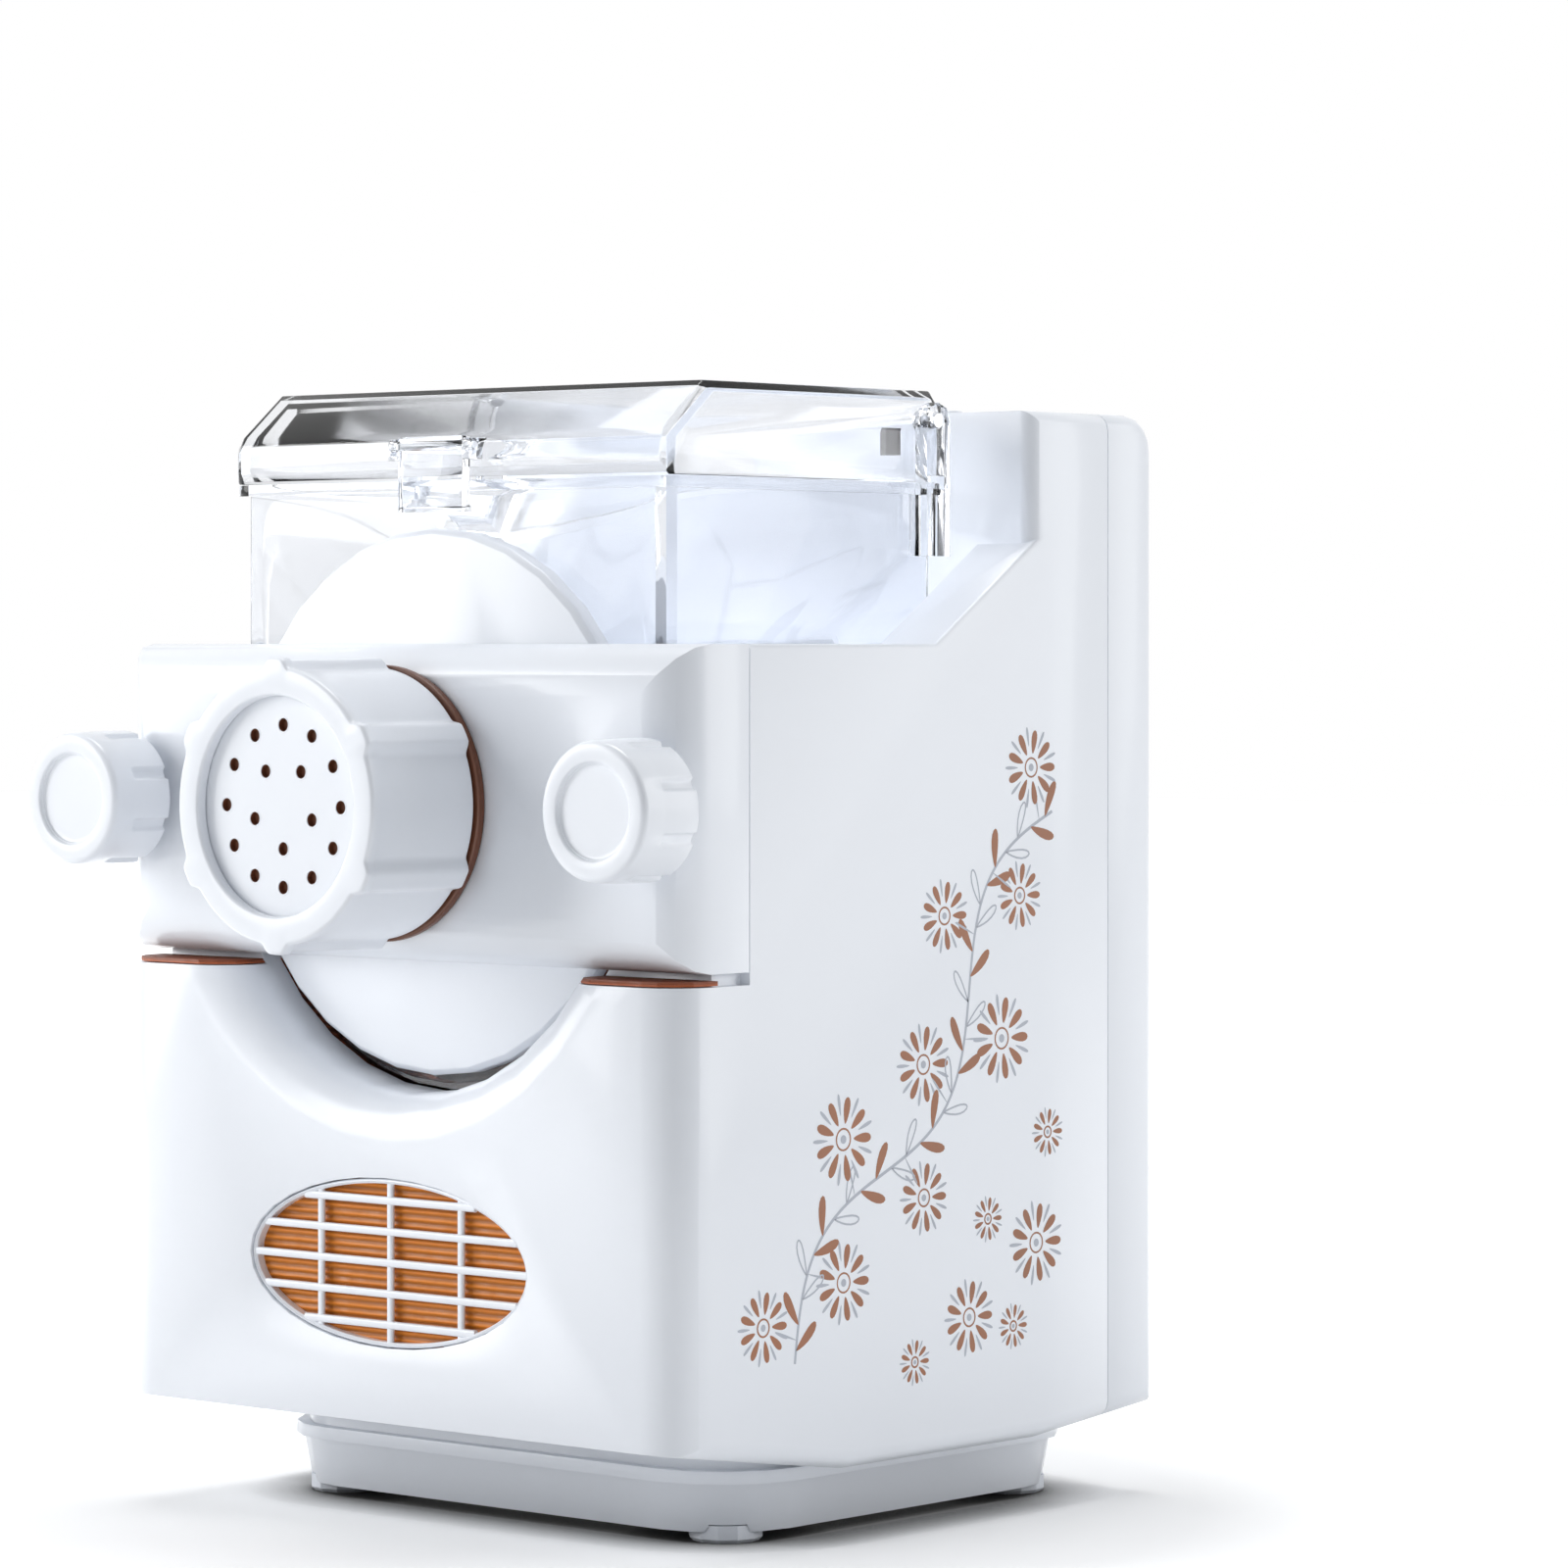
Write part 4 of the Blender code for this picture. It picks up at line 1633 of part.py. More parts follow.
def cooling_fan(grey):
    bore = MOTOR_SHAFT_RADIUS + FIT_GAP
    fan = lathe("cooling_fan", [
        (bore, FAN_FRONT_Y), (FAN_HUB_RADIUS, FAN_FRONT_Y), (FAN_HUB_RADIUS, FAN_BACK_Y), (bore, FAN_BACK_Y),
    ], (0, MOTOR_Z), SMALL_STEPS)
    middle_y = (FAN_FRONT_Y + FAN_BACK_Y) / 2
    for i in range(FAN_BLADE_COUNT):
        blade = box(
            "blade", (-FAN_BLADE_THICKNESS / 2, -FAN_BLADE_LENGTH / 2, FAN_HUB_RADIUS * FAN_ROOT_SHARE),
            (FAN_BLADE_THICKNESS / 2, FAN_BLADE_LENGTH / 2, FAN_RADIUS),
        )
        blade.data.transform(Matrix.Rotation(math.radians(FAN_BLADE_TWIST_DEGREES), 4, "Z"))
        blade.data.transform(Matrix.Translation(Y_AXIS * middle_y))
        turn_about_y(blade, (0, 0), 360 * i / FAN_BLADE_COUNT)
        blade.data.transform(Matrix.Translation(Z_AXIS * MOTOR_Z))
        fuse(fan, blade)
    pivot_at(fan, (0, middle_y, MOTOR_Z))
    return finish(fan, grey)


# Control panel on top of the tower, with its window, buttons and circuit board

def button_places():
    """Two buttons on each side of the window."""
    return {
        "button_minus": -BUTTON_SPREAD, "button_plus": -BUTTON_NEAR,
        "button_mode": BUTTON_NEAR, "button_start": BUTTON_SPREAD,
    }


def control_panel(grey):
    half_width = PANEL_WIDTH / 2
    half_depth = PANEL_DEPTH / 2
    outline = rounded_rectangle(
        (-half_width, PANEL_Y - half_depth), (half_width, PANEL_Y + half_depth),
        PANEL_CORNER_RADIUS, SMALL_CORNER_STEPS
    )
    panel = prism("control_panel", outline, "Z", PANEL_BOTTOM_Z, PANEL_TOP_Z)
    for x in button_places().values():
        cut(panel, cylinder(
            "button_hole", BUTTON_RADIUS + FIT_GAP, "Z", (x, PANEL_Y), PANEL_BOTTOM_Z - OVERRUN,
            PANEL_TOP_Z + OVERRUN, SMALL_STEPS,
        ))
    cut(panel, box(
        "window_hole",
        (-WINDOW_WIDTH / 2 - FIT_GAP, PANEL_Y - WINDOW_DEPTH / 2 - FIT_GAP, PANEL_BOTTOM_Z - OVERRUN),
        (WINDOW_WIDTH / 2 + FIT_GAP, PANEL_Y + WINDOW_DEPTH / 2 + FIT_GAP, PANEL_TOP_Z + OVERRUN),
    ))
    for x, y in board_post_places():
        fuse(panel, cylinder(
            "board_post", BOARD_POST_RADIUS, "Z", (x, y),
            BOARD_TOP_Z + FIT_GAP, PANEL_BOTTOM_Z + PANEL_THICKNESS / 2,
            TINY_STEPS,
        ))
    return finish(panel, grey)


def board_post_places():
    half_width = BOARD_WIDTH / 2 - BOARD_POST_INSET
    half_depth = PANEL_DEPTH / 2 - PANEL_LEDGE / 2 - 2 * BOARD_POST_RADIUS
    return [(x, PANEL_Y + y) for x in (-half_width, half_width) for y in (-half_depth, half_depth)]


def display_window(dark):
    half_width = WINDOW_WIDTH / 2
    half_depth = WINDOW_DEPTH / 2
    window = box(
        "display_window", (-half_width, PANEL_Y - half_depth, FLANGE_TOP_Z - WINDOW_THICKNESS / 2),
        (half_width, PANEL_Y + half_depth, PANEL_TOP_Z - FIT_GAP),
    )
    fuse(window, box(
        "window_flange",
        (-half_width - WINDOW_FLANGE, PANEL_Y - half_depth - WINDOW_FLANGE, BOARD_TOP_Z + FIT_GAP),
        (half_width + WINDOW_FLANGE, PANEL_Y + half_depth + WINDOW_FLANGE, FLANGE_TOP_Z),
    ))
    return finish(window, dark)


def panel_buttons(white):
    for name, x in button_places().items():
        profile_top = PANEL_TOP_Z + BUTTON_PROUD
        button = cylinder(
            name, BUTTON_RADIUS, "Z", (x, PANEL_Y),
            FLANGE_TOP_Z - BUTTON_FLANGE_THICKNESS / 2, profile_top, SMALL_STEPS
        )
        round_edges(
            button, BUTTON_PROUD / 3, EDGE_STEPS,
            lambda edge: both_ends(edge, lambda place: place.z > PANEL_TOP_Z + BUTTON_PROUD / 2),
        )
        fuse(button, cylinder(
            "flange", BUTTON_RADIUS + BUTTON_FLANGE, "Z",
            (x, PANEL_Y), FLANGE_TOP_Z - BUTTON_FLANGE_THICKNESS,
            FLANGE_TOP_Z, SMALL_STEPS,
        ))
        fuse(button, cylinder(
            "stem", BUTTON_RADIUS / 2, "Z", (x, PANEL_Y), BUTTON_BOTTOM_Z,
            FLANGE_TOP_Z - BUTTON_FLANGE_THICKNESS / 2,
            TINY_STEPS,
        ))
        pivot_at(button, (x, PANEL_Y, PANEL_TOP_Z))
        finish(button, white)


def circuit_board(green):
    half_width = BOARD_WIDTH / 2
    half_depth = BOARD_DEPTH / 2
    low = BOARD_TOP_Z - BOARD_THICKNESS
    board = box(
        "circuit_board", (-half_width, PANEL_Y - half_depth, low),
        (half_width, PANEL_Y + half_depth, BOARD_TOP_Z)
    )
    for x in button_places().values():
        fuse(board, cylinder(
            "dome", SWITCH_DOME_RADIUS, "Z", (x, PANEL_Y), BOARD_TOP_Z - BOARD_THICKNESS / 2,
            BOARD_TOP_Z + SWITCH_DOME_HEIGHT, TINY_STEPS,
        ))
    for x in (-CAPACITOR_HEIGHT, CAPACITOR_HEIGHT):
        fuse(board, cylinder(
            "capacitor", CAPACITOR_RADIUS, "Z", (x, PANEL_Y),
            low - CAPACITOR_HEIGHT, low + BOARD_THICKNESS / 2,
            TINY_STEPS,
        ))
    return finish(board, green)


# Mains inlet and power switch on the rear cover

def power_inlet(dark):
    back = BACK_Y + FIT_GAP
    half_width = INLET_WIDTH / 2
    half_height = INLET_HEIGHT / 2
    x = -INLET_OFFSET
    z = FITTINGS_HEIGHT
    inlet = box(
        "power_inlet", (x - half_width, back - INLET_DEPTH, z - half_height),
        (x + half_width, back + INLET_FLANGE_THICKNESS / 2, z + half_height),
    )
    fuse(inlet, box(
        "inlet_flange", (x - half_width - INLET_FLANGE, back, z - half_height - INLET_FLANGE),
        (x + half_width + INLET_FLANGE, back + INLET_FLANGE_THICKNESS, z + half_height + INLET_FLANGE),
    ))
    socket_half_width = half_width - INLET_WALL
    socket_half_height = half_height - INLET_WALL
    socket = box(
        "socket", (x - socket_half_width, back - INLET_DEPTH + INLET_WALL, z - socket_half_height),
        (x + socket_half_width, back + OVERRUN, z + socket_half_height),
    )
    for number, rise in ((-1, -INLET_PIN_HEIGHT / 2), (0, INLET_PIN_HEIGHT / 2), (1, -INLET_PIN_HEIGHT / 2)):
        pin_x = x + number * INLET_PIN_SPACING
        cut(socket, box(
            "pin", (pin_x - INLET_PIN_SIZE / 2, back - INLET_DEPTH, z + rise - INLET_PIN_HEIGHT / 2),
            (
                pin_x + INLET_PIN_SIZE / 2, back - INLET_DEPTH + INLET_WALL + INLET_PIN_LENGTH,
                z + rise + INLET_PIN_HEIGHT / 2
            ),
        ))
    cut(inlet, socket)
    return finish(inlet, dark)


def power_switch(dark):
    back = BACK_Y + FIT_GAP
    half_width = SWITCH_WIDTH / 2
    half_height = SWITCH_HEIGHT / 2
    x = -SWITCH_OFFSET
    z = FITTINGS_HEIGHT
    frame = box(
        "power_switch_frame", (x - half_width, back - SWITCH_DEPTH, z - half_height),
        (x + half_width, back + INLET_FLANGE_THICKNESS / 2, z + half_height),
    )
    fuse(frame, box(
        "switch_flange", (x - half_width - INLET_FLANGE, back, z - half_height - INLET_FLANGE),
        (x + half_width + INLET_FLANGE, back + INLET_FLANGE_THICKNESS, z + half_height + INLET_FLANGE),
    ))
    inner_width = half_width - INLET_WALL
    inner_height = half_height - INLET_WALL
    cut(frame, box(
        "rocker_well", (x - inner_width, back - SWITCH_DEPTH + INLET_WALL, z - inner_height),
        (x + inner_width, back + OVERRUN, z + inner_height),
    ))
    finish(frame, dark)
    pivot_y = back - ROCKER_PIVOT_RADIUS
    face_y = back + INLET_FLANGE_THICKNESS
    reach = ROCKER_REACH
    dip = reach * math.sin(ROCKER_TILT)
    outline = [
        (pivot_y - ROCKER_PIVOT_RADIUS, z - reach * ROCKER_BACK_SHARE),
        (face_y, z - reach),
        (face_y - dip / 2, z),
        (face_y, z + reach),
        (pivot_y - ROCKER_PIVOT_RADIUS, z + reach * ROCKER_BACK_SHARE),
        (pivot_y - 2 * ROCKER_PIVOT_RADIUS, z),
    ]
    rocker = prism("power_switch_rocker", outline, "X", x - inner_width + FIT_GAP, x + inner_width - FIT_GAP)
    turn = Matrix.Rotation(ROCKER_TILT, 4, "X")
    middle = Vector((x, pivot_y, z))
    rocker.data.transform(Matrix.Translation(middle) @ turn @ Matrix.Translation(-middle))
    pivot_at(rocker, middle)
    return finish(rocker, dark)


def build():
    for item in list(bpy.data.objects):
        bpy.data.objects.remove(item)
    white = plastic("white_plastic", (0.86, 0.89, 0.94), 0.32)
    panel_grey = plastic("panel_grey", (0.55, 0.58, 0.63), 0.30)
    clear = plastic("clear_plastic", (0.80, 0.88, 0.96), 0.06, clear=1)
    amber = plastic("amber_liner", (0.55, 0.22, 0.05), 0.55)
    steel = plastic("steel", (0.62, 0.63, 0.65), 0.28, metallic=1)
    rubber = plastic("rubber", (0.74, 0.77, 0.82), 0.6)
    silicone = plastic("silicone", (0.75, 0.76, 0.78), 0.55)
    case_grey = plastic("case_grey", (0.28, 0.29, 0.31), 0.50)
    dark = plastic("dark_plastic", (0.03, 0.03, 0.035), 0.30)
    green = plastic("board_green", (0.03, 0.22, 0.10), 0.45)

    shell = body_shell()
    main_housing(shell, white)
    rear_cover(shell, white)
    bpy.data.objects.remove(shell)
    rear_screws(steel)
    vent_grille(white)
    vent_filter(amber)
    base_tray(white)
    feet(rubber)
    inner_chassis(amber)
    seat_liners(amber)
    front_bar(white)
    clamp_sets(white, steel)
    front_disc(white)
    disc_seal(silicone)
    nut_spacer_ring(amber)
    die_plate(white)
    die_nut(white)
    mixing_chamber(clear)
    chamber_lid(clear)
    hinge_pins(steel)
    lid_magnet(dark)
    lid_latch(clear)
    latch_pin(steel)
    mixing_auger(white)
    shaft_bush(silicone)
    turned_shaft(
        "output_shaft", OUTPUT_SHAFT_RADIUS, AXIS_Z, AUGER_BACK_Y - SHAFT_SOCKET_DEPTH + FIT_GAP,
        CASE_COVER_Y + CASE_WALL, steel,
    )
    turned_shaft(
        "idler_shaft", IDLER_SHAFT_RADIUS, IDLER_Z, CASE_Y, CASE_COVER_Y + CASE_WALL, steel
    )
    turned_shaft(
        "motor_shaft", MOTOR_SHAFT_RADIUS, MOTOR_Z,
        FAN_FRONT_Y - FAN_GAP / 2, CASE_COVER_Y + CASE_WALL, steel
    )
    gear_train(white, steel)
    gear_case(case_grey)
    gear_case_cover(case_grey)
    motor_body(steel)
    cooling_fan(case_grey)
    control_panel(panel_grey)
    display_window(dark)
    panel_buttons(white)
    circuit_board(green)
    power_inlet(dark)
    power_switch(dark)


build()
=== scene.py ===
# Electric pasta maker: the looks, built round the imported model
import json
import math

import bmesh
import bpy
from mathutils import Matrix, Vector

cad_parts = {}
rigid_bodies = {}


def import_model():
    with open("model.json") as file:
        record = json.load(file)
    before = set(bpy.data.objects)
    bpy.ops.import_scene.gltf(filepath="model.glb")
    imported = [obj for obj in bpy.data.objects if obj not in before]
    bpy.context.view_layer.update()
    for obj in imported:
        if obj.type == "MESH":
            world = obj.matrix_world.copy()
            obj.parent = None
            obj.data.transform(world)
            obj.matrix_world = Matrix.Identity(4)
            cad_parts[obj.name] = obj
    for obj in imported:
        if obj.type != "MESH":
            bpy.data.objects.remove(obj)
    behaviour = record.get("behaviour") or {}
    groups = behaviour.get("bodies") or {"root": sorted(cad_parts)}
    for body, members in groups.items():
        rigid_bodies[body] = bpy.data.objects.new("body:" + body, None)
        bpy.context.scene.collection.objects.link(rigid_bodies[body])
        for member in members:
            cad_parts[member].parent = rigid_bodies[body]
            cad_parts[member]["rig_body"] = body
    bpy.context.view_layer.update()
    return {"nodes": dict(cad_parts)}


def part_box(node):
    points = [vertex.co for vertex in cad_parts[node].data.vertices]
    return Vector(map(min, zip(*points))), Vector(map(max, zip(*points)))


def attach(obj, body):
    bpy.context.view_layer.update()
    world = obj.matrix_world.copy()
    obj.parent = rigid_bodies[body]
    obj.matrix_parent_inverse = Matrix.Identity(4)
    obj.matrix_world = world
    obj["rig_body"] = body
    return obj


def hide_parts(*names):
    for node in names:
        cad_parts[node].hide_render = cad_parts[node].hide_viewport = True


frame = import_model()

# Camera, fitted to the photograph: a long lens level with the deck, 41 degrees round to the right
CAMERA_PLACE = (1.110, -1.19622, 0.238)
CAMERA_HEADING = 41
CAMERA_LENS = 135.1
PHOTO_SIDE = 1600
HORIZON_ROW = 657
CAMERA_REACH = 50

# Floor: from the near distance out to the far one its glow rises until it is as white as the background.
# Close to the object a painted contact shadow darkens it within the painted shadow's reach, down to its
# dark share.
FLOOR_NEAR = 0.17
FLOOR_FAR = 0.42
FLOOR_GLOW = 0.18
PAINTED_SHADOW_REACH = 0.022
PAINTED_SHADOW_DARK = 0.35
PAINTED_SHADOW_SAMPLES = 8
FLOOR_FAR_GLOW = 1.2
FLOOR_HALF_SIZE = 6
FLOOR_COLOUR = (0.93, 0.93, 0.93)
FLOOR_ROUGHNESS = 0.9

# Lamps: name, place, side in metres, power in watts
LAMPS = (
    ("left_box", (-1.7, -1.3, 0.9), 1.4, 33),
    ("right_box", (1.5, 1.2, 0.8), 1.4, 14),
    ("top_box", (-0.2, 0.2, 2.0), 0.9, 15),
)
LAMP_TARGET = (0, 0, 0.15)
WORLD_COLOUR = (0.93, 0.96, 1)
WORLD_STRENGTH = 0.32

# Sizes that belong to the looks only, in metres, and angles in degrees
HAIR = 0.00002
MERGE = 0.000002
SHARP_DEGREES = 32
FLAT_DEGREES = 0.4
ROUND_DEGREES = 30
ROUND_SEGMENTS = 2
ROUND_PROFILE = 0.5

# Colours, linear red, green and blue
WHITE = (0.86, 0.89, 0.94)
# The three amber colours are painted shade: they stand for the shade in the gaps, between the nut and the
# bar, in the die's holes and behind the vent
LINER_PAINTED_SHADE = (0.34, 0.075, 0.018)
DARK_PAINTED_SHADE = (0.16, 0.052, 0.022)
FILTER_PAINTED_SHADE = (0.62, 0.185, 0.008)
PANEL_GREY = (0.55, 0.58, 0.63)
CLEAR = (0.893, 0.905, 0.928)
STEEL = (0.62, 0.63, 0.65)
FOOT_RUBBER = (0.74, 0.77, 0.82)
SILICONE = (0.75, 0.76, 0.78)
CASE_GREY = (0.28, 0.29, 0.31)
BLACK = (0.03, 0.03, 0.035)
BOARD_GREEN = (0.03, 0.22, 0.10)
BROWN_INK = (0.36, 0.125, 0.045)
GREY_INK = (0.47, 0.50, 0.57)
MARK_INK = (0.16, 0.17, 0.20)
# The digits' pale blue is a painted glow of the display
DIGIT_PAINTED_GLOW = (0.45, 0.75, 0.90)


# Mesh helpers

def piece_from(mesh_tool, name, finish, body, smooth_degrees=SHARP_DEGREES):
    """A piece made of the mesh tool's shape, with its finish, riding on its body."""
    for face in mesh_tool.faces:
        face.smooth = True
    limit = math.radians(smooth_degrees)
    for edge in mesh_tool.edges:
        edge.smooth = len(edge.link_faces) == 2 and edge.calc_face_angle(0) < limit
    mesh = bpy.data.meshes.new(name)
    mesh_tool.to_mesh(mesh)
    mesh_tool.free()
    piece = bpy.data.objects.new(name, mesh)
    bpy.context.scene.collection.objects.link(piece)
    mesh.materials.append(finish)
    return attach(piece, body)


def node_shape(node):
    """A merged copy of a CAD node's mesh, with its flat faces whole again."""
    shape = bmesh.new()
    shape.from_mesh(frame["nodes"][node].data)
    bmesh.ops.remove_doubles(shape, verts=shape.verts, dist=MERGE)
    bmesh.ops.dissolve_limit(
        shape, angle_limit=math.radians(FLAT_DEGREES), verts=shape.verts, edges=shape.edges
    )
    return shape


def finer(node, finish, radius):
    """A copy of a node whose edges are rounded, standing for that node."""
    shape = node_shape(node)
    limit = math.radians(ROUND_DEGREES)
    edges = [
        edge
        for edge in shape.edges
        if len(edge.link_faces) == 2 and edge.calc_face_angle(0) > limit
    ]
    bmesh.ops.bevel(
        shape, geom=edges, offset=radius, offset_type="OFFSET", segments=ROUND_SEGMENTS,
        profile=ROUND_PROFILE, affect="EDGES", clamp_overlap=True, material=-1,
    )
    body = frame["nodes"][node]["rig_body"]
    piece = piece_from(shape, node + "_finish", finish, body)
    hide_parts(node)
    return piece


def turned(profile, centre, steps):
    """A turned shape: (radius, y) points spun about the level axis through centre (x, z)."""
    shape = bmesh.new()
    points = [shape.verts.new((centre[0] + radius, y, centre[1])) for radius, y in profile]
    line = [shape.edges.new(pair) for pair in zip(points, points[1:])]
    bmesh.ops.spin(
        shape, geom=points + line, cent=(centre[0], 0, centre[1]), axis=(0, 1, 0),
        angle=2 * math.pi, steps=steps, use_merge=True, use_duplicate=False,
    )
    bmesh.ops.remove_doubles(shape, verts=shape.verts, dist=MERGE)
    bmesh.ops.recalc_face_normals(shape, faces=shape.faces)
    return shape


def quarter(radius, y, corner, towards, steps=4):
    """Points of a rounded corner of a turned profile, from one side of it to the other."""
    out_first, out_last = towards
    points = []
    for i in range(steps + 1):
        turn = math.pi / 2 * i / steps
        first, last = corner * (1 - math.sin(turn)), corner * (1 - math.cos(turn))
        points.append((
            radius + out_first[0] * first + out_last[0] * last,
            y + out_first[1] * first + out_last[1] * last,
        ))
    return points


def soft_step(value, start, end):
    """0 before start, 1 after end, and a smooth rise between them."""
    share = max(0.0, min(1.0, (value - start) / (end - start)))
    return share * share * (3 - 2 * share)


def angle_from(place, centre, first, count):
    """The turn from a point to the nearest of count even places round the axis, one of them at first."""
    angle = math.atan2(place.z - centre[1], place.x - centre[0]) - first
    step = 2 * math.pi / count
    return abs((angle + step / 2) % step - step / 2)


def push_out(vertex, centre, distance):
    """Moves a point of a turned shape away from the axis."""
    out = Vector((vertex.co.x - centre[0], 0, vertex.co.z - centre[1]))
    vertex.co += out.normalized() * distance


# Finishes

def blank_material(name):
    """A new node material with its shader and output joined."""
    material = bpy.data.materials.new(name)
    material.use_nodes = True
    tree = material.node_tree
    tree.nodes.clear()
    output = tree.nodes.new("ShaderNodeOutputMaterial")
    shader = tree.nodes.new("ShaderNodeBsdfPrincipled")
    tree.links.new(shader.outputs["BSDF"], output.inputs["Surface"])
    return material, tree, shader


def object_place(tree, stretch=(1, 1, 1)):
    """The piece's own coordinates, stretched along its axes."""
    place = tree.nodes.new("ShaderNodeTexCoord")
    mapping = tree.nodes.new("ShaderNodeMapping")
    mapping.inputs["Scale"].default_value = stretch
    tree.links.new(place.outputs["Object"], mapping.inputs["Vector"])
    return mapping.outputs["Vector"]


def noise(tree, place, size, detail=3, roughness=0.5):
    """Soft cloudy noise whose patches are about as wide as size, in metres."""
    node = tree.nodes.new("ShaderNodeTexNoise")
    node.inputs["Scale"].default_value = 1 / size
    node.inputs["Detail"].default_value = detail
    node.inputs["Roughness"].default_value = roughness
    tree.links.new(place, node.inputs["Vector"])
    return node.outputs["Fac"]


def ranged(tree, value, low, high, start=0.3, end=0.7):
    """A value taken from start..end to low..high."""
    node = tree.nodes.new("ShaderNodeMapRange")
    node.inputs["From Min"].default_value = start
    node.inputs["From Max"].default_value = end
    node.inputs["To Min"].default_value = low
    node.inputs["To Max"].default_value = high
    tree.links.new(value, node.inputs["Value"])
    return node.outputs["Result"]


def shade_between(tree, value, dark, light):
    """A colour that goes from dark to light as the value goes from 0 to 1."""
    node = tree.nodes.new("ShaderNodeMix")
    node.data_type = "RGBA"
    node.inputs["A"].default_value = (*dark, 1)
    node.inputs["B"].default_value = (*light, 1)
    tree.links.new(value, node.inputs["Factor"])
    return node.outputs["Result"]


def bumped(tree, shader, height, depth, strength=1.0, under=None):
    """A bump of that depth, in metres, laid over the one under it."""
    node = tree.nodes.new("ShaderNodeBump")
    node.inputs["Strength"].default_value = strength
    node.inputs["Distance"].default_value = depth
    tree.links.new(height, node.inputs["Height"])
    if under:
        tree.links.new(under, node.inputs["Normal"])
    tree.links.new(node.outputs["Normal"], shader.inputs["Normal"])
    return node.outputs["Normal"]


def tinted(colour, share):
    """The colour made darker by a share."""
    return tuple(channel * (1 - share) for channel in colour)


# Sizes of the finishes' detail, in metres
FLOW_SIZE, RUB_SIZE, WAVE_SIZE, GRAIN_SIZE = 0.09, 0.035, 0.06, 0.0009
WAVE_DEPTH, GRAIN_DEPTH, CASE_GRAIN_DEPTH = 0.00006, 0.00001, 0.00003
CLEAR_FLOW_SIZE, WIPE_SIZE, CLEAR_WAVE_SIZE, CLEAR_WAVE_DEPTH = 0.06, 0.006, 0.02, 0.00006
LINE_SIZE, LINE_DEPTH, HANDLING_SIZE = 0.0006, 0.00002, 0.01
BLOOM_SIZE, RUBBER_GRAIN_SIZE, RUBBER_GRAIN_DEPTH = 0.008, 0.0007, 0.00004
FLUTE_PITCH, FLUTE_DEPTH, FLUTE_CLOUD_SIZE = 0.0065, 0.0006, 0.004
TRACK_SIZE, TRACK_DEPTH, BOARD_CLOUD_SIZE = 0.008, 0.00003, 0.003
WIPE_STRETCH, LINE_STRETCH = (1, 6, 1), (1, 14, 1)

# Shares by which a finish's roughness goes down and up, and settings of its shader
RUB_SHARES, WIPE_SHARES, LINE_SHARES = (0.95, 1.06), (0.5, 2.2), (0.7, 1.5)
BLOOM_SHARES, FLUTE_SHARES, BOARD_ROUGHNESS = (0.9, 1.15), (0.8, 1.2), (0.32, 0.5)
PLASTIC_IOR, CLEAR_IOR, COAT_ROUGHNESS = 1.5, 1.33, 0.12
WAVE_STRENGTH, GRAIN_STRENGTH = 0.2, 0.5
CLEAR_TINT_SHARE, STEEL_TINT_SHARE, SHADOW_TINT_SHARE = 0.02, 0.12, 0.08
# Painted shade in the flutes' valleys, painted light on their crests, and the lift of the dusty bloom
VALLEY_PAINTED_SHADE_SHARE, CREST_PAINTED_LIGHT_SCALE, BLOOM_LIFT = 0.45, 1.25, 0.05


def spread(tree, value, roughness, shares):
    """A roughness that goes between two shares of itself as the value goes up."""
    return ranged(tree, value, roughness * shares[0], roughness * shares[1])


def moulded(name, colour, roughness, depth=GRAIN_DEPTH, mottle=0.008, coat=0.0):
    """Injection-moulded plastic: faint flow marks, a fine skin grain and small rubs in the gloss."""
    material, tree, shader = blank_material(name)
    place = object_place(tree)
    flow = ranged(tree, noise(tree, place, FLOW_SIZE, detail=1), 0, 1)
    tree.links.new(shade_between(tree, flow, tinted(colour, mottle), colour), shader.inputs["Base Color"])
    rubs = noise(tree, place, RUB_SIZE, detail=1, roughness=0.4)
    tree.links.new(spread(tree, rubs, roughness, RUB_SHARES), shader.inputs["Roughness"])
    waves = bumped(tree, shader, noise(tree, place, WAVE_SIZE, detail=0), WAVE_DEPTH, WAVE_STRENGTH)
    bumped(tree, shader, noise(tree, place, GRAIN_SIZE, detail=2), depth, GRAIN_STRENGTH, waves)
    shader.inputs["IOR"].default_value = PLASTIC_IOR
    shader.inputs["Coat Weight"].default_value = coat
    shader.inputs["Coat Roughness"].default_value = COAT_ROUGHNESS
    return material


def clear_moulded(name, colour, roughness):
    """Clear styrene: a faintly blue body, flow waves and fine wipe marks."""
    material, tree, shader = blank_material(name)
    place = object_place(tree)
    flow = ranged(tree, noise(tree, place, CLEAR_FLOW_SIZE, detail=2), 0, 1)
    body = shade_between(tree, flow, tinted(colour, CLEAR_TINT_SHARE), colour)
    tree.links.new(body, shader.inputs["Base Color"])
    wipes = noise(tree, object_place(tree, WIPE_STRETCH), WIPE_SIZE, detail=6, roughness=0.7)
    tree.links.new(spread(tree, wipes, roughness, WIPE_SHARES), shader.inputs["Roughness"])
    bumped(tree, shader, noise(tree, place, CLEAR_WAVE_SIZE, detail=1), CLEAR_WAVE_DEPTH, strength=0.3)
    shader.inputs["Transmission Weight"].default_value = 1
    shader.inputs["IOR"].default_value = CLEAR_IOR
    let_light_through(tree, shader, colour)
    return material


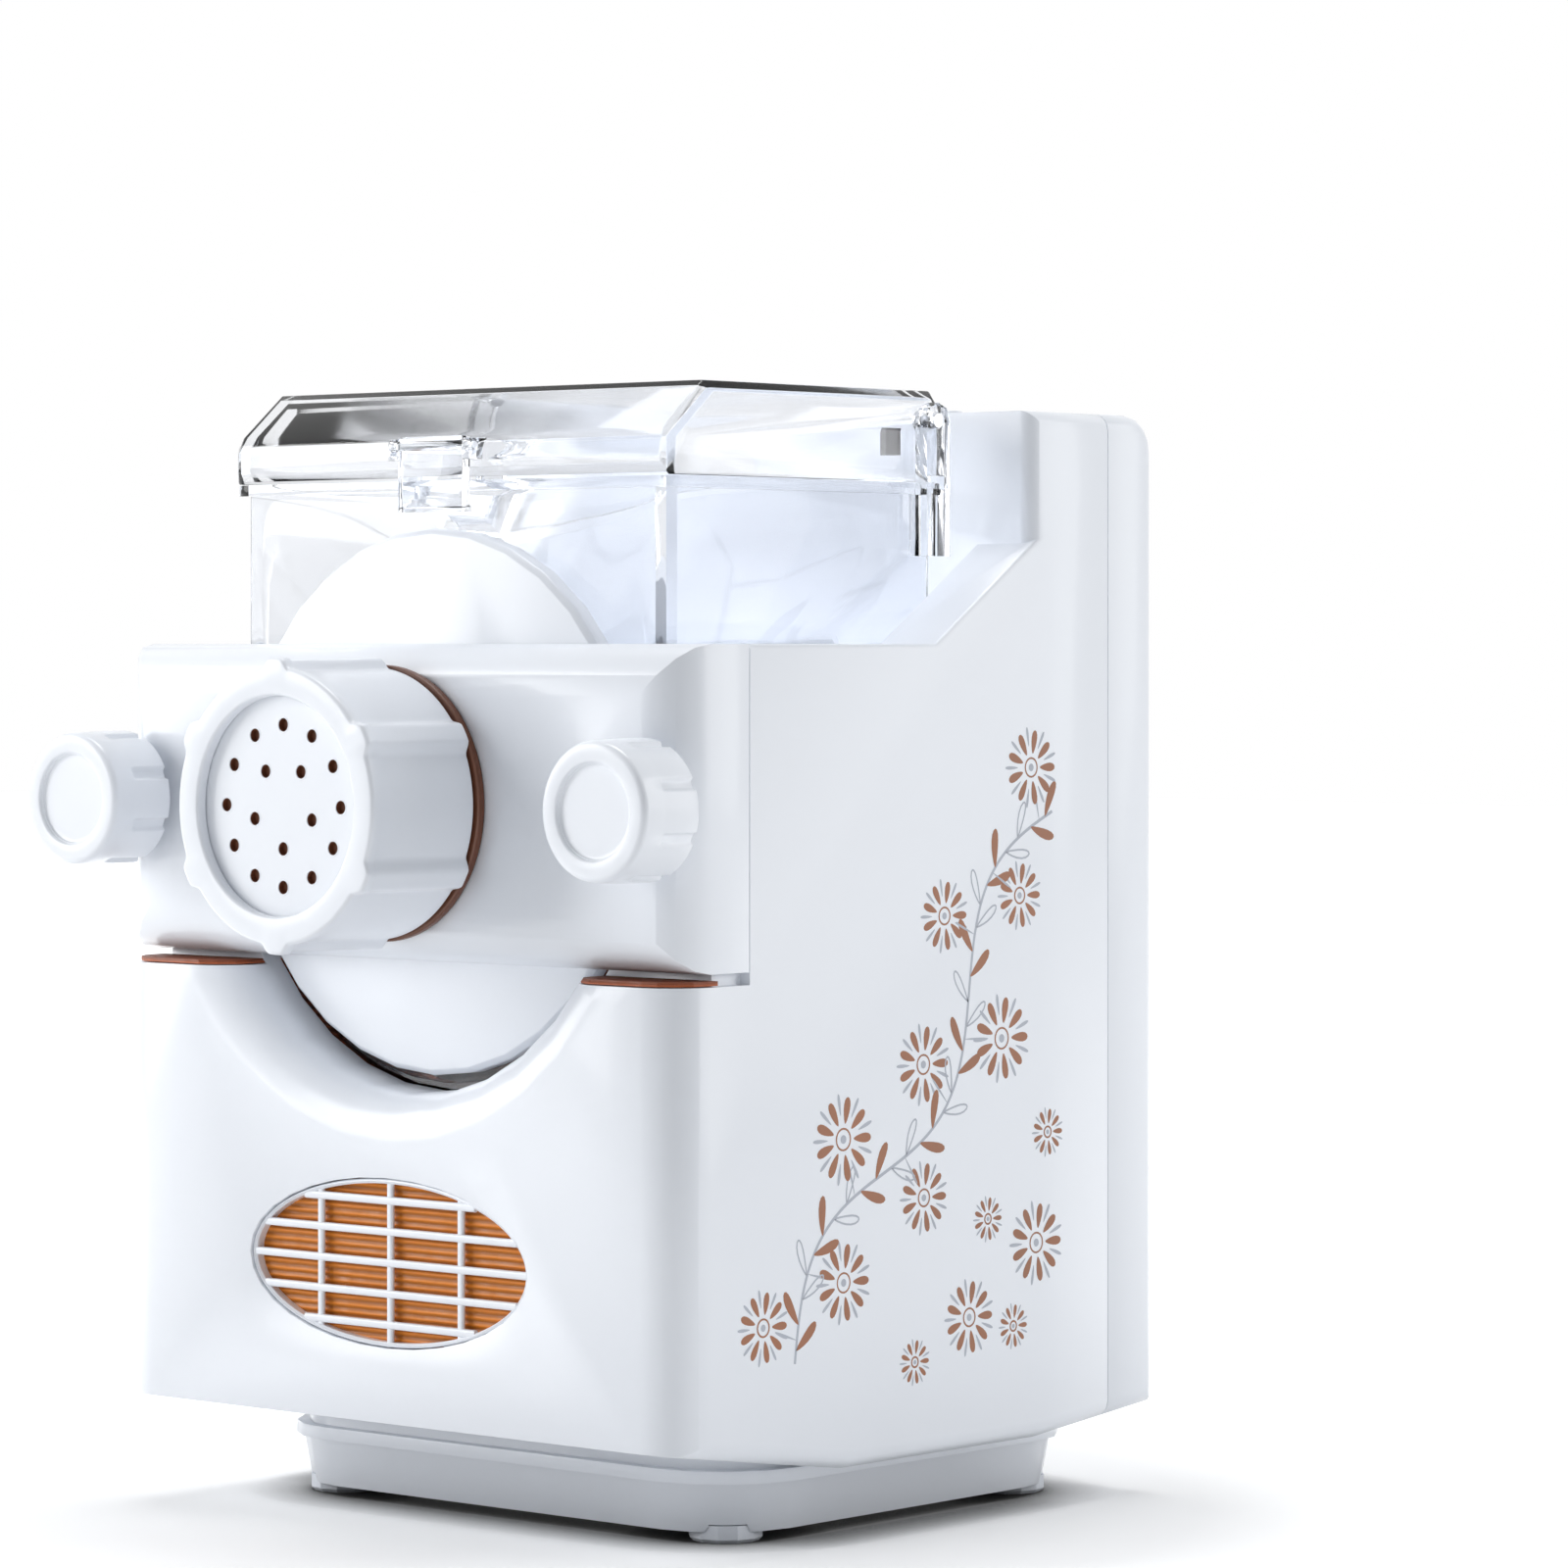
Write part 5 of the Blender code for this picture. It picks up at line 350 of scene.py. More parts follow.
def let_light_through(tree, shader, colour):
    """Clear plastic casts only a faint shadow."""
    output = next(node for node in tree.nodes if node.type == "OUTPUT_MATERIAL")
    through = tree.nodes.new("ShaderNodeBsdfTransparent")
    through.inputs["Color"].default_value = (*tinted(colour, SHADOW_TINT_SHARE), 1)
    rays = tree.nodes.new("ShaderNodeLightPath")
    either = tree.nodes.new("ShaderNodeMixShader")
    tree.links.new(rays.outputs["Is Shadow Ray"], either.inputs["Fac"])
    tree.links.new(shader.outputs["BSDF"], either.inputs[1])
    tree.links.new(through.outputs["BSDF"], either.inputs[2])
    tree.links.new(either.outputs["Shader"], output.inputs["Surface"])


def brushed(name, colour, roughness):
    """Turned steel: fine lines round the axis and small handling marks."""
    material, tree, shader = blank_material(name)
    lines = noise(tree, object_place(tree, LINE_STRETCH), LINE_SIZE, detail=3)
    cloud = ranged(tree, noise(tree, object_place(tree), HANDLING_SIZE, detail=4), 0, 1)
    body = shade_between(tree, cloud, tinted(colour, STEEL_TINT_SHARE), colour)
    tree.links.new(body, shader.inputs["Base Color"])
    tree.links.new(spread(tree, lines, roughness, LINE_SHARES), shader.inputs["Roughness"])
    bumped(tree, shader, lines, LINE_DEPTH, strength=0.5)
    shader.inputs["Metallic"].default_value = 1
    return material


def rubbery(name, colour, roughness):
    """Soft rubber: matt, with a fine grain and a dusty bloom."""
    material, tree, shader = blank_material(name)
    place = object_place(tree)
    bloom = ranged(tree, noise(tree, place, BLOOM_SIZE, detail=5, roughness=0.7), 0, 1)
    dusty = tuple(channel + BLOOM_LIFT for channel in colour)
    tree.links.new(shade_between(tree, bloom, colour, dusty), shader.inputs["Base Color"])
    tree.links.new(spread(tree, bloom, roughness, BLOOM_SHARES), shader.inputs["Roughness"])
    bumped(tree, shader, noise(tree, place, RUBBER_GRAIN_SIZE, detail=3), RUBBER_GRAIN_DEPTH, strength=0.6)
    return material


def fluted(name, colour, roughness):
    """Amber filter and liner plastic, whose amber is painted shade: fine level flutes, with painted shade
    in their valleys and painted light on their crests.
    """
    material, tree, shader = blank_material(name)
    place = object_place(tree)
    wave = tree.nodes.new("ShaderNodeTexWave")
    wave.bands_direction = "Z"
    wave.inputs["Scale"].default_value = 1 / FLUTE_PITCH
    wave.inputs["Distortion"].default_value = 0.3
    tree.links.new(place, wave.inputs["Vector"])
    height = wave.outputs["Fac"]
    # Painted shade in the flutes' valleys and painted light on their crests
    crest = tuple(min(1, channel * CREST_PAINTED_LIGHT_SCALE) for channel in colour)
    painted_shade = shade_between(tree, height, tinted(colour, VALLEY_PAINTED_SHADE_SHARE), crest)
    tree.links.new(painted_shade, shader.inputs["Base Color"])
    cloud = noise(tree, place, FLUTE_CLOUD_SIZE)
    tree.links.new(spread(tree, cloud, roughness, FLUTE_SHARES), shader.inputs["Roughness"])
    bumped(tree, shader, height, FLUTE_DEPTH, strength=0.7)
    return material


def board_finish(name, colour):
    """Green solder mask with faint tracks under it."""
    material, tree, shader = blank_material(name)
    place = object_place(tree)
    tracks = tree.nodes.new("ShaderNodeTexBrick")
    tracks.inputs["Scale"].default_value = 1 / TRACK_SIZE
    tracks.inputs["Mortar Size"].default_value = 0.05
    tracks.inputs["Color1"].default_value = (*colour, 1)
    tracks.inputs["Color2"].default_value = (*tinted(colour, 0.15), 1)
    tracks.inputs["Mortar"].default_value = (*[channel * 1.5 for channel in colour], 1)
    tree.links.new(place, tracks.inputs["Vector"])
    tree.links.new(tracks.outputs["Color"], shader.inputs["Base Color"])
    cloud = noise(tree, place, BOARD_CLOUD_SIZE)
    tree.links.new(ranged(tree, cloud, *BOARD_ROUGHNESS), shader.inputs["Roughness"])
    bumped(tree, shader, tracks.outputs["Fac"], TRACK_DEPTH, strength=0.6)
    return material


def slot_finishes():
    """One finish for each material slot of the record."""
    return {
        "white_plastic": moulded("white_gloss_plastic", WHITE, roughness=0.30, coat=0.25),
        "panel_grey": moulded("panel_grey_plastic", PANEL_GREY, roughness=0.30, coat=0.2),
        "clear_plastic": clear_moulded("clear_styrene", CLEAR, roughness=0.03),
        # The liners' amber is painted shade in the gaps round the bar and disc
        "amber_liner": fluted("amber_liner_painted_shade", LINER_PAINTED_SHADE, roughness=0.5),
        "steel": brushed("turned_steel", STEEL, roughness=0.28),
        "rubber": rubbery("pale_foot_rubber", FOOT_RUBBER, roughness=0.6),
        "silicone": rubbery("milky_silicone", SILICONE, roughness=0.55),
        "case_grey": moulded(
            "dark_case_nylon", CASE_GREY, roughness=0.5, mottle=0.12, depth=CASE_GRAIN_DEPTH
        ),
        "dark_plastic": moulded("black_gloss_plastic", BLACK, roughness=0.25, mottle=0.2, coat=0.3),
        "board_green": board_finish("green_solder_mask", BOARD_GREEN),
    }


def dress_nodes(finishes):
    """Every CAD node's slots take the finish of their name."""
    for node in frame["nodes"].values():
        for slot in node.material_slots:
            slot.material = finishes[slot.material.name.split(".")[0]]


# Stage: floor, white backdrop and soft lamps

def seen_directly(tree):
    """1 for what the camera, glossy faces and clear plastic see, and 0 for light that lights the object."""
    rays = tree.nodes.new("ShaderNodeLightPath")
    either = rays.outputs["Is Camera Ray"]
    for other in ("Is Glossy Ray", "Is Transmission Ray"):
        larger = tree.nodes.new("ShaderNodeMath")
        larger.operation = "MAXIMUM"
        tree.links.new(either, larger.inputs[0])
        tree.links.new(rays.outputs[other], larger.inputs[1])
        either = larger.outputs[0]
    return either


def lit_white(name, colour, glow):
    """A matt floor with a painted contact shadow, dark where the object is close, and a glow that lights
    nothing itself.
    """
    material, tree, shader = blank_material(name)
    shader.inputs["Roughness"].default_value = FLOOR_ROUGHNESS
    # Painted contact shadow: ambient occlusion darkens the floor's colour and glow near the object
    painted_shadow_occlusion = tree.nodes.new("ShaderNodeAmbientOcclusion")
    painted_shadow_occlusion.inputs["Distance"].default_value = PAINTED_SHADOW_REACH
    painted_shadow_occlusion.samples = PAINTED_SHADOW_SAMPLES
    outside_painted_shadow = ranged(tree, painted_shadow_occlusion.outputs["AO"], 0, 1, PAINTED_SHADOW_DARK, 1)
    painted_shade = shade_between(tree, outside_painted_shadow, (0, 0, 0), colour)
    tree.links.new(painted_shade, shader.inputs["Base Color"])
    tree.links.new(painted_shade, shader.inputs["Emission Color"])
    distance = tree.nodes.new("ShaderNodeVectorMath")
    distance.operation = "LENGTH"
    tree.links.new(object_place(tree), distance.inputs[0])
    far = ranged(tree, distance.outputs["Value"], glow, FLOOR_FAR_GLOW, FLOOR_NEAR, FLOOR_FAR)
    amount = tree.nodes.new("ShaderNodeMath")
    amount.operation = "MULTIPLY"
    tree.links.new(far, amount.inputs[1])
    tree.links.new(seen_directly(tree), amount.inputs[0])
    tree.links.new(amount.outputs[0], shader.inputs["Emission Strength"])
    return material


def floor():
    """A pale floor that keeps the shadow, with a painted contact shadow close to the object."""
    shape = bmesh.new()
    bmesh.ops.create_grid(shape, x_segments=2, y_segments=2, size=FLOOR_HALF_SIZE)
    mesh = bpy.data.meshes.new("pale_floor")
    shape.to_mesh(mesh)
    shape.free()
    ground = bpy.data.objects.new("pale_floor", mesh)
    bpy.context.scene.collection.objects.link(ground)
    mesh.materials.append(lit_white("floor_white_painted_shadow", FLOOR_COLOUR, FLOOR_GLOW))


def world_light():
    """Even pale light all round, seen as white by the camera."""
    world = bpy.data.worlds.new("studio_white")
    bpy.context.scene.world = world
    world.use_nodes = True
    tree = world.node_tree
    tree.nodes.clear()
    output = tree.nodes.new("ShaderNodeOutputWorld")
    light = tree.nodes.new("ShaderNodeBackground")
    light.inputs["Color"].default_value = (*WORLD_COLOUR, 1)
    light.inputs["Strength"].default_value = WORLD_STRENGTH
    white = tree.nodes.new("ShaderNodeBackground")
    white.inputs["Color"].default_value = (1, 1, 1, 1)
    either = tree.nodes.new("ShaderNodeMixShader")
    tree.links.new(seen_directly(tree), either.inputs["Fac"])
    tree.links.new(light.outputs["Background"], either.inputs[1])
    tree.links.new(white.outputs["Background"], either.inputs[2])
    tree.links.new(either.outputs["Shader"], output.inputs["Surface"])


def soft_lamp(name, place, side, power):
    """A broad square soft box facing the object."""
    data = bpy.data.lights.new(name, "AREA")
    data.shape = "SQUARE"
    data.size = side
    data.energy = power
    lamp = bpy.data.objects.new(name, data)
    bpy.context.scene.collection.objects.link(lamp)
    lamp.location = place
    lamp.rotation_euler = (Vector(LAMP_TARGET) - Vector(place)).to_track_quat("-Z", "Y").to_euler()


def camera():
    """The camera at the photograph's place."""
    data = bpy.data.cameras.new("photo_camera")
    data.lens = CAMERA_LENS
    data.shift_y = -(PHOTO_SIDE / 2 - HORIZON_ROW) / PHOTO_SIDE
    viewer = bpy.data.objects.new("photo_camera", data)
    bpy.context.scene.collection.objects.link(viewer)
    viewer.location = CAMERA_PLACE
    viewer.rotation_euler = (math.radians(90), 0, math.radians(CAMERA_HEADING))
    data.clip_end = CAMERA_REACH
    bpy.context.scene.camera = viewer


def studio():
    """Floor, lamps and camera."""
    floor()
    world_light()
    for lamp in LAMPS:
        soft_lamp(*lamp)
    camera()
    bpy.context.scene.view_settings.view_transform = "Standard"


# Nut, thumb nuts, spacer ring and the die's holes, in metres and radians

NUT_STEPS = 288
NUT_LOBES = 6
NUT_BORE = 0.0303
NUT_MOUTH = 0.029
NUT_LIP = 0.0032
NUT_CORE = 0.0358
NUT_RIM = 0.0365
NUT_RISE = 0.0024
NUT_RIM_DEPTH = 0.0034
NUT_EDGE = 0.0012
NUT_BACK_EDGE = 0.0010
NUT_MOUTH_EDGE = 0.0009
NUT_BORE_EDGE = 0.0005
NUT_RIM_BACK_EDGE = 0.0004
NUT_FINE_EDGE = 0.0003
NUT_LOBE_TOP = math.radians(3.2)
NUT_LOBE_FOOT = math.radians(8.5)
NUT_SHARP_DEGREES = 28

# How much wider the nut's core is at two places behind its front, at one before its back, and at its back
NUT_DRAFT = ((0.0001, 0.012), (0.0002, 0.022))
NUT_DRAFT_BACK = (0.0004, 0.004)
NUT_BACK_DRAFT = 0.0005

# How far inside the core the push of the lobes starts and is full
NUT_PUSH_START = 0.0022
NUT_PUSH_FULL = 0.0006


def axis_of(node):
    """Where a turned node's level axis is, as (x, z), with its front and back."""
    low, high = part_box(node)
    return ((low.x + high.x) / 2, (low.z + high.z) / 2), low.y, high.y


def off_axis(vertex, axis):
    """How far a point is from the axis."""
    return math.hypot(vertex.co.x - axis[0], vertex.co.z - axis[1])


def die_nut(finish):
    """The screw-on nut: flat front ring, six ribs along its side and a stepped mouth."""
    axis, front, back = axis_of("die_nut")
    lip = front + NUT_LIP
    rim_back = front + NUT_RIM_DEPTH
    side = [(NUT_CORE + wider, front + behind) for wider, behind in NUT_DRAFT]
    profile = [
        (NUT_BORE, lip),
        *quarter(NUT_MOUTH, lip, NUT_FINE_EDGE, ((1, 0), (0, -1)), steps=2),
        *quarter(NUT_MOUTH, front, NUT_MOUTH_EDGE, ((0, 1), (1, 0))),
        *quarter(NUT_RIM, front, NUT_EDGE, ((-1, 0), (0, 1)), steps=5),
        *quarter(NUT_RIM, rim_back, NUT_RIM_BACK_EDGE, ((0, -1), (-1, 0)), steps=2),
        *quarter(NUT_CORE, rim_back, NUT_FINE_EDGE, ((1, 0), (0, 1)), steps=2),
        *side,
        (NUT_CORE + NUT_DRAFT_BACK[0], back - NUT_DRAFT_BACK[1]),
        *quarter(NUT_CORE + NUT_BACK_DRAFT, back, NUT_BACK_EDGE, ((0, -1), (-1, 0))),
        *quarter(NUT_BORE, back, NUT_BORE_EDGE, ((1, 0), (0, -1)), steps=2),
    ]
    shape = turned(profile, axis, NUT_STEPS)
    for vertex in shape.verts:
        radius = off_axis(vertex, axis)
        outside = soft_step(radius, NUT_CORE - NUT_PUSH_START, NUT_CORE - NUT_PUSH_FULL)
        off = angle_from(vertex.co, axis, math.pi / 2, NUT_LOBES)
        rib = 1 - soft_step(off, NUT_LOBE_TOP, NUT_LOBE_FOOT)
        push_out(vertex, axis, NUT_RISE * rib * outside)
    piece = piece_from(shape, "screw_on_nut", finish, "nut", NUT_SHARP_DEGREES)
    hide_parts("die_nut")


KNOB_STEPS = 256
KNOB_GRIPS = 8
KNOB_GROOVE_HALF = math.radians(3.6)
KNOB_GROOVE_EDGE = math.radians(5.6)
KNOB_GROOVE_DEPTH = 0.0011
KNOB_GROOVE_REACH = 0.0125
KNOB_GROOVE_LEAD = 0.0004
KNOB_GROOVE_RUN = 0.0008
KNOB_DISH = 0.0122
KNOB_DISH_DEPTH = 0.0015
KNOB_DISH_CROWN = 0.00005
KNOB_DISH_FLAT = 0.0012
KNOB_DISH_EDGE = 0.0005
KNOB_BORE = 0.0033
KNOB_BORE_END = 0.0052
KNOB_RIM_STEP = 0.0003
KNOB_RIM_EDGE = 0.0008
KNOB_FRONT_INSET = 0.0004
KNOB_FRONT_EDGE = 0.0018
KNOB_SIDE_INSET = 0.0002
KNOB_MIDDLE_INSET = 0.0001
KNOB_MIDDLE_RUN = 0.0010
KNOB_FULL_REACH = 0.006
KNOB_BACK_EDGE = 0.0008
KNOB_PUSH_START = 0.0016
KNOB_PUSH_FULL = 0.0010
KNOB_SHARP_DEGREES = 34


def thumb_nut(side_name, finish):
    """A clamp knob: dished round face in a rounded rim, and grip grooves round its rear part."""
    node = "knob_" + side_name
    axis, front, back = axis_of(node)
    low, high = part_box(node)
    radius = (high.x - low.x) / 2
    dish_floor = front + KNOB_DISH_DEPTH
    groove_front = back - KNOB_GROOVE_REACH
    profile = [
        (0, dish_floor),
        (KNOB_DISH / 2, dish_floor - KNOB_DISH_CROWN),
        (KNOB_DISH - KNOB_DISH_FLAT, dish_floor),
        *quarter(KNOB_DISH, dish_floor, KNOB_DISH_EDGE, ((-1, 0), (0, -1)), steps=3),
        *quarter(KNOB_DISH + KNOB_RIM_STEP, front, KNOB_RIM_EDGE, ((0, 1), (1, 0))),
        *quarter(radius - KNOB_FRONT_INSET, front, KNOB_FRONT_EDGE, ((-1, 0), (0, 1)), steps=6),
        (radius - KNOB_SIDE_INSET, groove_front - KNOB_GROOVE_RUN),
        (radius - KNOB_SIDE_INSET, groove_front),
        (radius - KNOB_MIDDLE_INSET, groove_front + KNOB_MIDDLE_RUN),
        (radius, back - KNOB_FULL_REACH),
        *quarter(radius, back, KNOB_BACK_EDGE, ((0, -1), (-1, 0)), steps=3),
        (KNOB_BORE, back),
        (KNOB_BORE, front + KNOB_BORE_END),
        (0, front + KNOB_BORE_END),
    ]
    shape = turned(profile, axis, KNOB_STEPS)
    for vertex in shape.verts:
        outside = soft_step(off_axis(vertex, axis), radius - KNOB_PUSH_START, radius - KNOB_PUSH_FULL)
        off = angle_from(vertex.co, axis, math.pi / KNOB_GRIPS, KNOB_GRIPS)
        groove = 1 - soft_step(off, KNOB_GROOVE_HALF, KNOB_GROOVE_EDGE)
        along = soft_step(vertex.co.y, groove_front - KNOB_GROOVE_LEAD, groove_front + KNOB_GROOVE_RUN)
        push_out(vertex, axis, -KNOB_GROOVE_DEPTH * groove * outside * along)
    body = side_name + "_thumb_nut"
    piece = piece_from(shape, "clamp_knob_" + side_name, finish, body, KNOB_SHARP_DEGREES)
    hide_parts(node)


SPACER_OUTER = 0.0369
SPACER_INNER = 0.0303
SPACER_FRONT_EDGE = 0.0006
SPACER_BACK_EDGE = 0.0003
SPACER_STEPS = 160


def spacer_ring(finish):
    """The thin dark ring that shows between the nut and the bar, its dark amber a painted shadow there."""
    axis, front, back = axis_of("nut_spacer_ring")
    profile = [
        (SPACER_INNER, front),
        *quarter(SPACER_OUTER, front, SPACER_FRONT_EDGE, ((-1, 0), (0, 1)), steps=3),
        *quarter(SPACER_OUTER, back, SPACER_BACK_EDGE, ((0, -1), (-1, 0)), steps=2),
        (SPACER_INNER, back),
        (SPACER_INNER, front),
    ]
    piece = piece_from(turned(profile, axis, SPACER_STEPS), "spacer_ring_painted_shadow", finish, "body")
    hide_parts("nut_spacer_ring")


# The die's holes: their radius, and the rings they stand in as radius, count and offset in steps
DIE_HOLE = 0.0019
DIE_HOLE_RINGS = ((0.0213, 12, 0.0), (0.0112, 5, 0.5))

# Profiles about each hole: how far out from the hole's radius and how far behind the plate's face
LINING_FLOOR, LINING_BACK, LINING_STEPS = 0.0016, 0.0019, 20
LINING_WALL = ((-0.00022, LINING_FLOOR), (-0.00022, 0.0002), (-0.00012, 0.0002), (-0.00012, LINING_BACK))
BEAD_PROFILE = (
    (-0.0001, 0.0003), (-0.0001, -0.00002), (0.0001, -0.00010), (0.0003, -0.00002), (0.0004, 0.0003),
    (-0.0001, 0.0003),
)
BEAD_STEPS = 24
BEAD_SHARP_DEGREES = 60


def die_hole_places():
    """Centres of the die's holes as (x, z), in two rings."""
    low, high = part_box("die_plate")
    middle = (low.z + high.z) / 2
    for ring, count, offset in DIE_HOLE_RINGS:
        for i in range(count):
            turn = math.pi / 2 + 2 * math.pi * (i + offset) / count
            yield ring * math.cos(turn), middle + ring * math.sin(turn)


def die_holes(lining, rim):
    """Brown linings sunk in the die's holes as painted shade inside them, and the fine raised rim round
    each of them.
    """
    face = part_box("die_plate")[0].y
    wall = [(DIE_HOLE + out, face + behind) for out, behind in LINING_WALL]
    cup = [(0, face + LINING_FLOOR), *wall, (0, face + LINING_BACK)]
    bead = [(DIE_HOLE + out, face + behind) for out, behind in BEAD_PROFILE]
    linings = bmesh.new()
    rims = bmesh.new()
    for place in die_hole_places():
        add_shape(linings, turned(cup, place, LINING_STEPS))
        add_shape(rims, turned(bead, place, BEAD_STEPS))
    piece_from(linings, "die_hole_painted_shade_linings", lining, "die")
    piece_from(rims, "die_hole_rims", rim, "die", BEAD_SHARP_DEGREES)


def add_shape(into, shape):
    """Adds a mesh tool's shape to another one."""
    carried = bpy.data.meshes.new("carried")
    shape.to_mesh(carried)
    shape.free()
    into.from_mesh(carried)
    bpy.data.meshes.remove(carried)


# Vent: rounded slats and bars in a thin ring, with the fluted filter close behind them, whose amber is
# painted shade for the vent's inside

SLAT_COUNT, SLAT_HALF, SLAT_PITCH = 5, 0.0011, 0.0083
BAR_COUNT, BAR_HALF, BAR_PITCH = 3, 0.00105, 0.0262
BAR_SET_BACK = 0.0003
GRILLE_DEPTH = 0.0020
GRILLE_INSET = 0.00205
GRILLE_SHARP_DEGREES = 40
ROD_STEPS = 14
ROD_MIDDLE_SHARE = 0.7
RING_STEPS = 128
PAD_STEPS = 96
PAD_GAP = 0.0009
PAD_INSET = 0.0001

# The ring's profile: its width, and the places of its shoulders behind the front
RING_WIDTH = 0.0013
RING_OUTER_EDGE = 0.0002
RING_INNER_SHOULDER = 0.0006
RING_OUTER_SHOULDER = 0.0008


def rod(shape, along, middle, half_length, half_width, half_depth):
    """A rounded flat rod along x or z."""
    made = bmesh.ops.create_cone(
        shape, cap_ends=True, segments=ROD_STEPS, radius1=1, radius2=1, depth=2,
    )["verts"]
    for vertex in made:
        across, deep, reach = vertex.co
        flat = ROD_MIDDLE_SHARE + (1 - ROD_MIDDLE_SHARE) * abs(across)
        place = (across * half_width, deep * flat * half_depth, reach * half_length)
        if along == "x":
            place = (place[2], place[1], place[0])
        vertex.co = Vector(middle) + Vector(place)


def half_chord(half_width, half_height, offset):
    """Half the length of an ellipse's chord at an offset along its height."""
    return half_width * math.sqrt(max(0.0, 1 - (offset / half_height) ** 2))


def even_places(count, pitch):
    """Places of that many things, evenly spaced about 0."""
    return [(i - (count - 1) / 2) * pitch for i in range(count)]


def grille_ring(half_width, half_height, middle, front, back):
    """The thin oval ring round the slats."""
    inner = 1 - RING_WIDTH / half_height
    crest = 1 - RING_WIDTH / 2 / half_height
    profile = [
        (inner, back), (inner, front + RING_INNER_SHOULDER), (crest, front),
        (1 - RING_OUTER_EDGE / half_height, front + RING_OUTER_EDGE), (1, front + RING_OUTER_SHOULDER),
        (1, back), (inner, back),
    ]
    band = turned(profile, (0, 0), RING_STEPS)
    for vertex in band.verts:
        inward = (1 - math.hypot(vertex.co.x, vertex.co.z)) * half_height
        turn = math.atan2(vertex.co.z, vertex.co.x)
        vertex.co.x = middle.x + (half_width - inward) * math.cos(turn)
        vertex.co.z = middle.z + (half_height - inward) * math.sin(turn)
    return band


def filter_pad(half_width, half_height, middle, front, back):
    """An oval pad between two depths."""
    pad = bmesh.new()
    rim = bmesh.ops.create_circle(pad, cap_ends=True, segments=PAD_STEPS, radius=1)["verts"]
    for vertex in rim:
        across, up = vertex.co.x, vertex.co.y
        vertex.co = (
            middle.x + across * (half_width - PAD_INSET), front, middle.z + up * (half_height - PAD_INSET)
        )
    made = bmesh.ops.extrude_face_region(pad, geom=pad.faces[:])
    rear = [item for item in made["geom"] if isinstance(item, bmesh.types.BMVert)]
    bmesh.ops.translate(pad, verts=rear, vec=(0, back - front, 0))
    bmesh.ops.recalc_face_normals(pad, faces=pad.faces)
    return pad


def vent(white, amber):
    """The grille and the filter behind it, each standing for its node."""
    hole_low, hole_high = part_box("vent_filter")
    low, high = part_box("vent_grille")
    middle = (low + high) / 2
    half_width = (hole_high.x - hole_low.x) / 2 - GRILLE_INSET
    half_height = (hole_high.z - hole_low.z) / 2 - GRILLE_INSET
    front = low.y
    half_depth = GRILLE_DEPTH / 2
    shape = bmesh.new()
    for offset in even_places(SLAT_COUNT, SLAT_PITCH):
        reach = half_chord(half_width, half_height, abs(offset) + SLAT_HALF)
        place = (middle.x, front + half_depth, middle.z + offset)
        rod(shape, "x", place, reach, SLAT_HALF, half_depth)
    for offset in even_places(BAR_COUNT, BAR_PITCH):
        reach = half_chord(half_height, half_width, abs(offset) + BAR_HALF)
        place = (middle.x + offset, front + half_depth + BAR_SET_BACK, middle.z)
        rod(shape, "z", place, reach, BAR_HALF, half_depth)
    add_shape(shape, grille_ring(half_width, half_height, middle, front, high.y))
    piece = piece_from(shape, "vent_slats_and_ring", white, "body", GRILLE_SHARP_DEGREES)
    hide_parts("vent_grille")

    # The filter's amber pad is painted shade, standing for the dark inside of the vent
    pad = filter_pad(half_width, half_height, middle, front + GRILLE_DEPTH + PAD_GAP, hole_high.y)
    piece = piece_from(pad, "pleated_vent_filter_painted_shade", amber, "body")
    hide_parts("vent_filter")


# Floral print on the right side: one waving garland with leaves and daisies, and a few loose daisies.
# Places are (depth behind the bar's front, height), drawn in the plane of the side.

PRINT_LINE = 0.0005
PRINT_LAYER = 0.0000006
PRINT_LAYERS = 53
PETAL_ROOT_SHARE = 0.42

GARLAND_START, GARLAND_END = (0.046, 0.050), (0.154, 0.192)
GARLAND_SWING = 0.011
GARLAND_WAVES = 1.5
GARLAND_STEPS = 120
STEM_WIDTH = 0.0009
LEAF_COUNT = 30
LEAF_LENGTH, LEAF_WIDTH, LEAF_BEND = 0.0105, 0.0038, 0.10
LEAF_TURN = math.radians(48)
DAISY_TURN = math.radians(80)
DAISY_REACH = 0.0045

# Daisies on the garland: how far along it, on which side, and radius
DAISIES = (
    (0.03, 1, 0.0095), (0.12, -1, 0.0105), (0.27, 1, 0.0115), (0.38, -1, 0.0095), (0.50, 1, 0.0105),
    (0.60, -1, 0.0115), (0.74, 1, 0.0095), (0.84, -1, 0.0090), (0.97, 1, 0.0105),
)

# Loose daisies: place and radius
LOOSE_DAISIES = (
    ((0.118, 0.056), 0.0100), ((0.147, 0.074), 0.0110), ((0.095, 0.046), 0.0060),
    ((0.137, 0.052), 0.0060), ((0.152, 0.104), 0.0065), ((0.126, 0.082), 0.0060),
)

# A daisy's shapes, as shares of its radius
DAISY_PETALS = 9
DAISY_PETAL_SHARES = (0.36, 0.62, 0.30)
DAISY_EYE_SHARE, DAISY_SEED_SHARE = 0.27, 0.10
DAISY_BETWEEN_SHARES = (0.55, 0.52, 0.12)


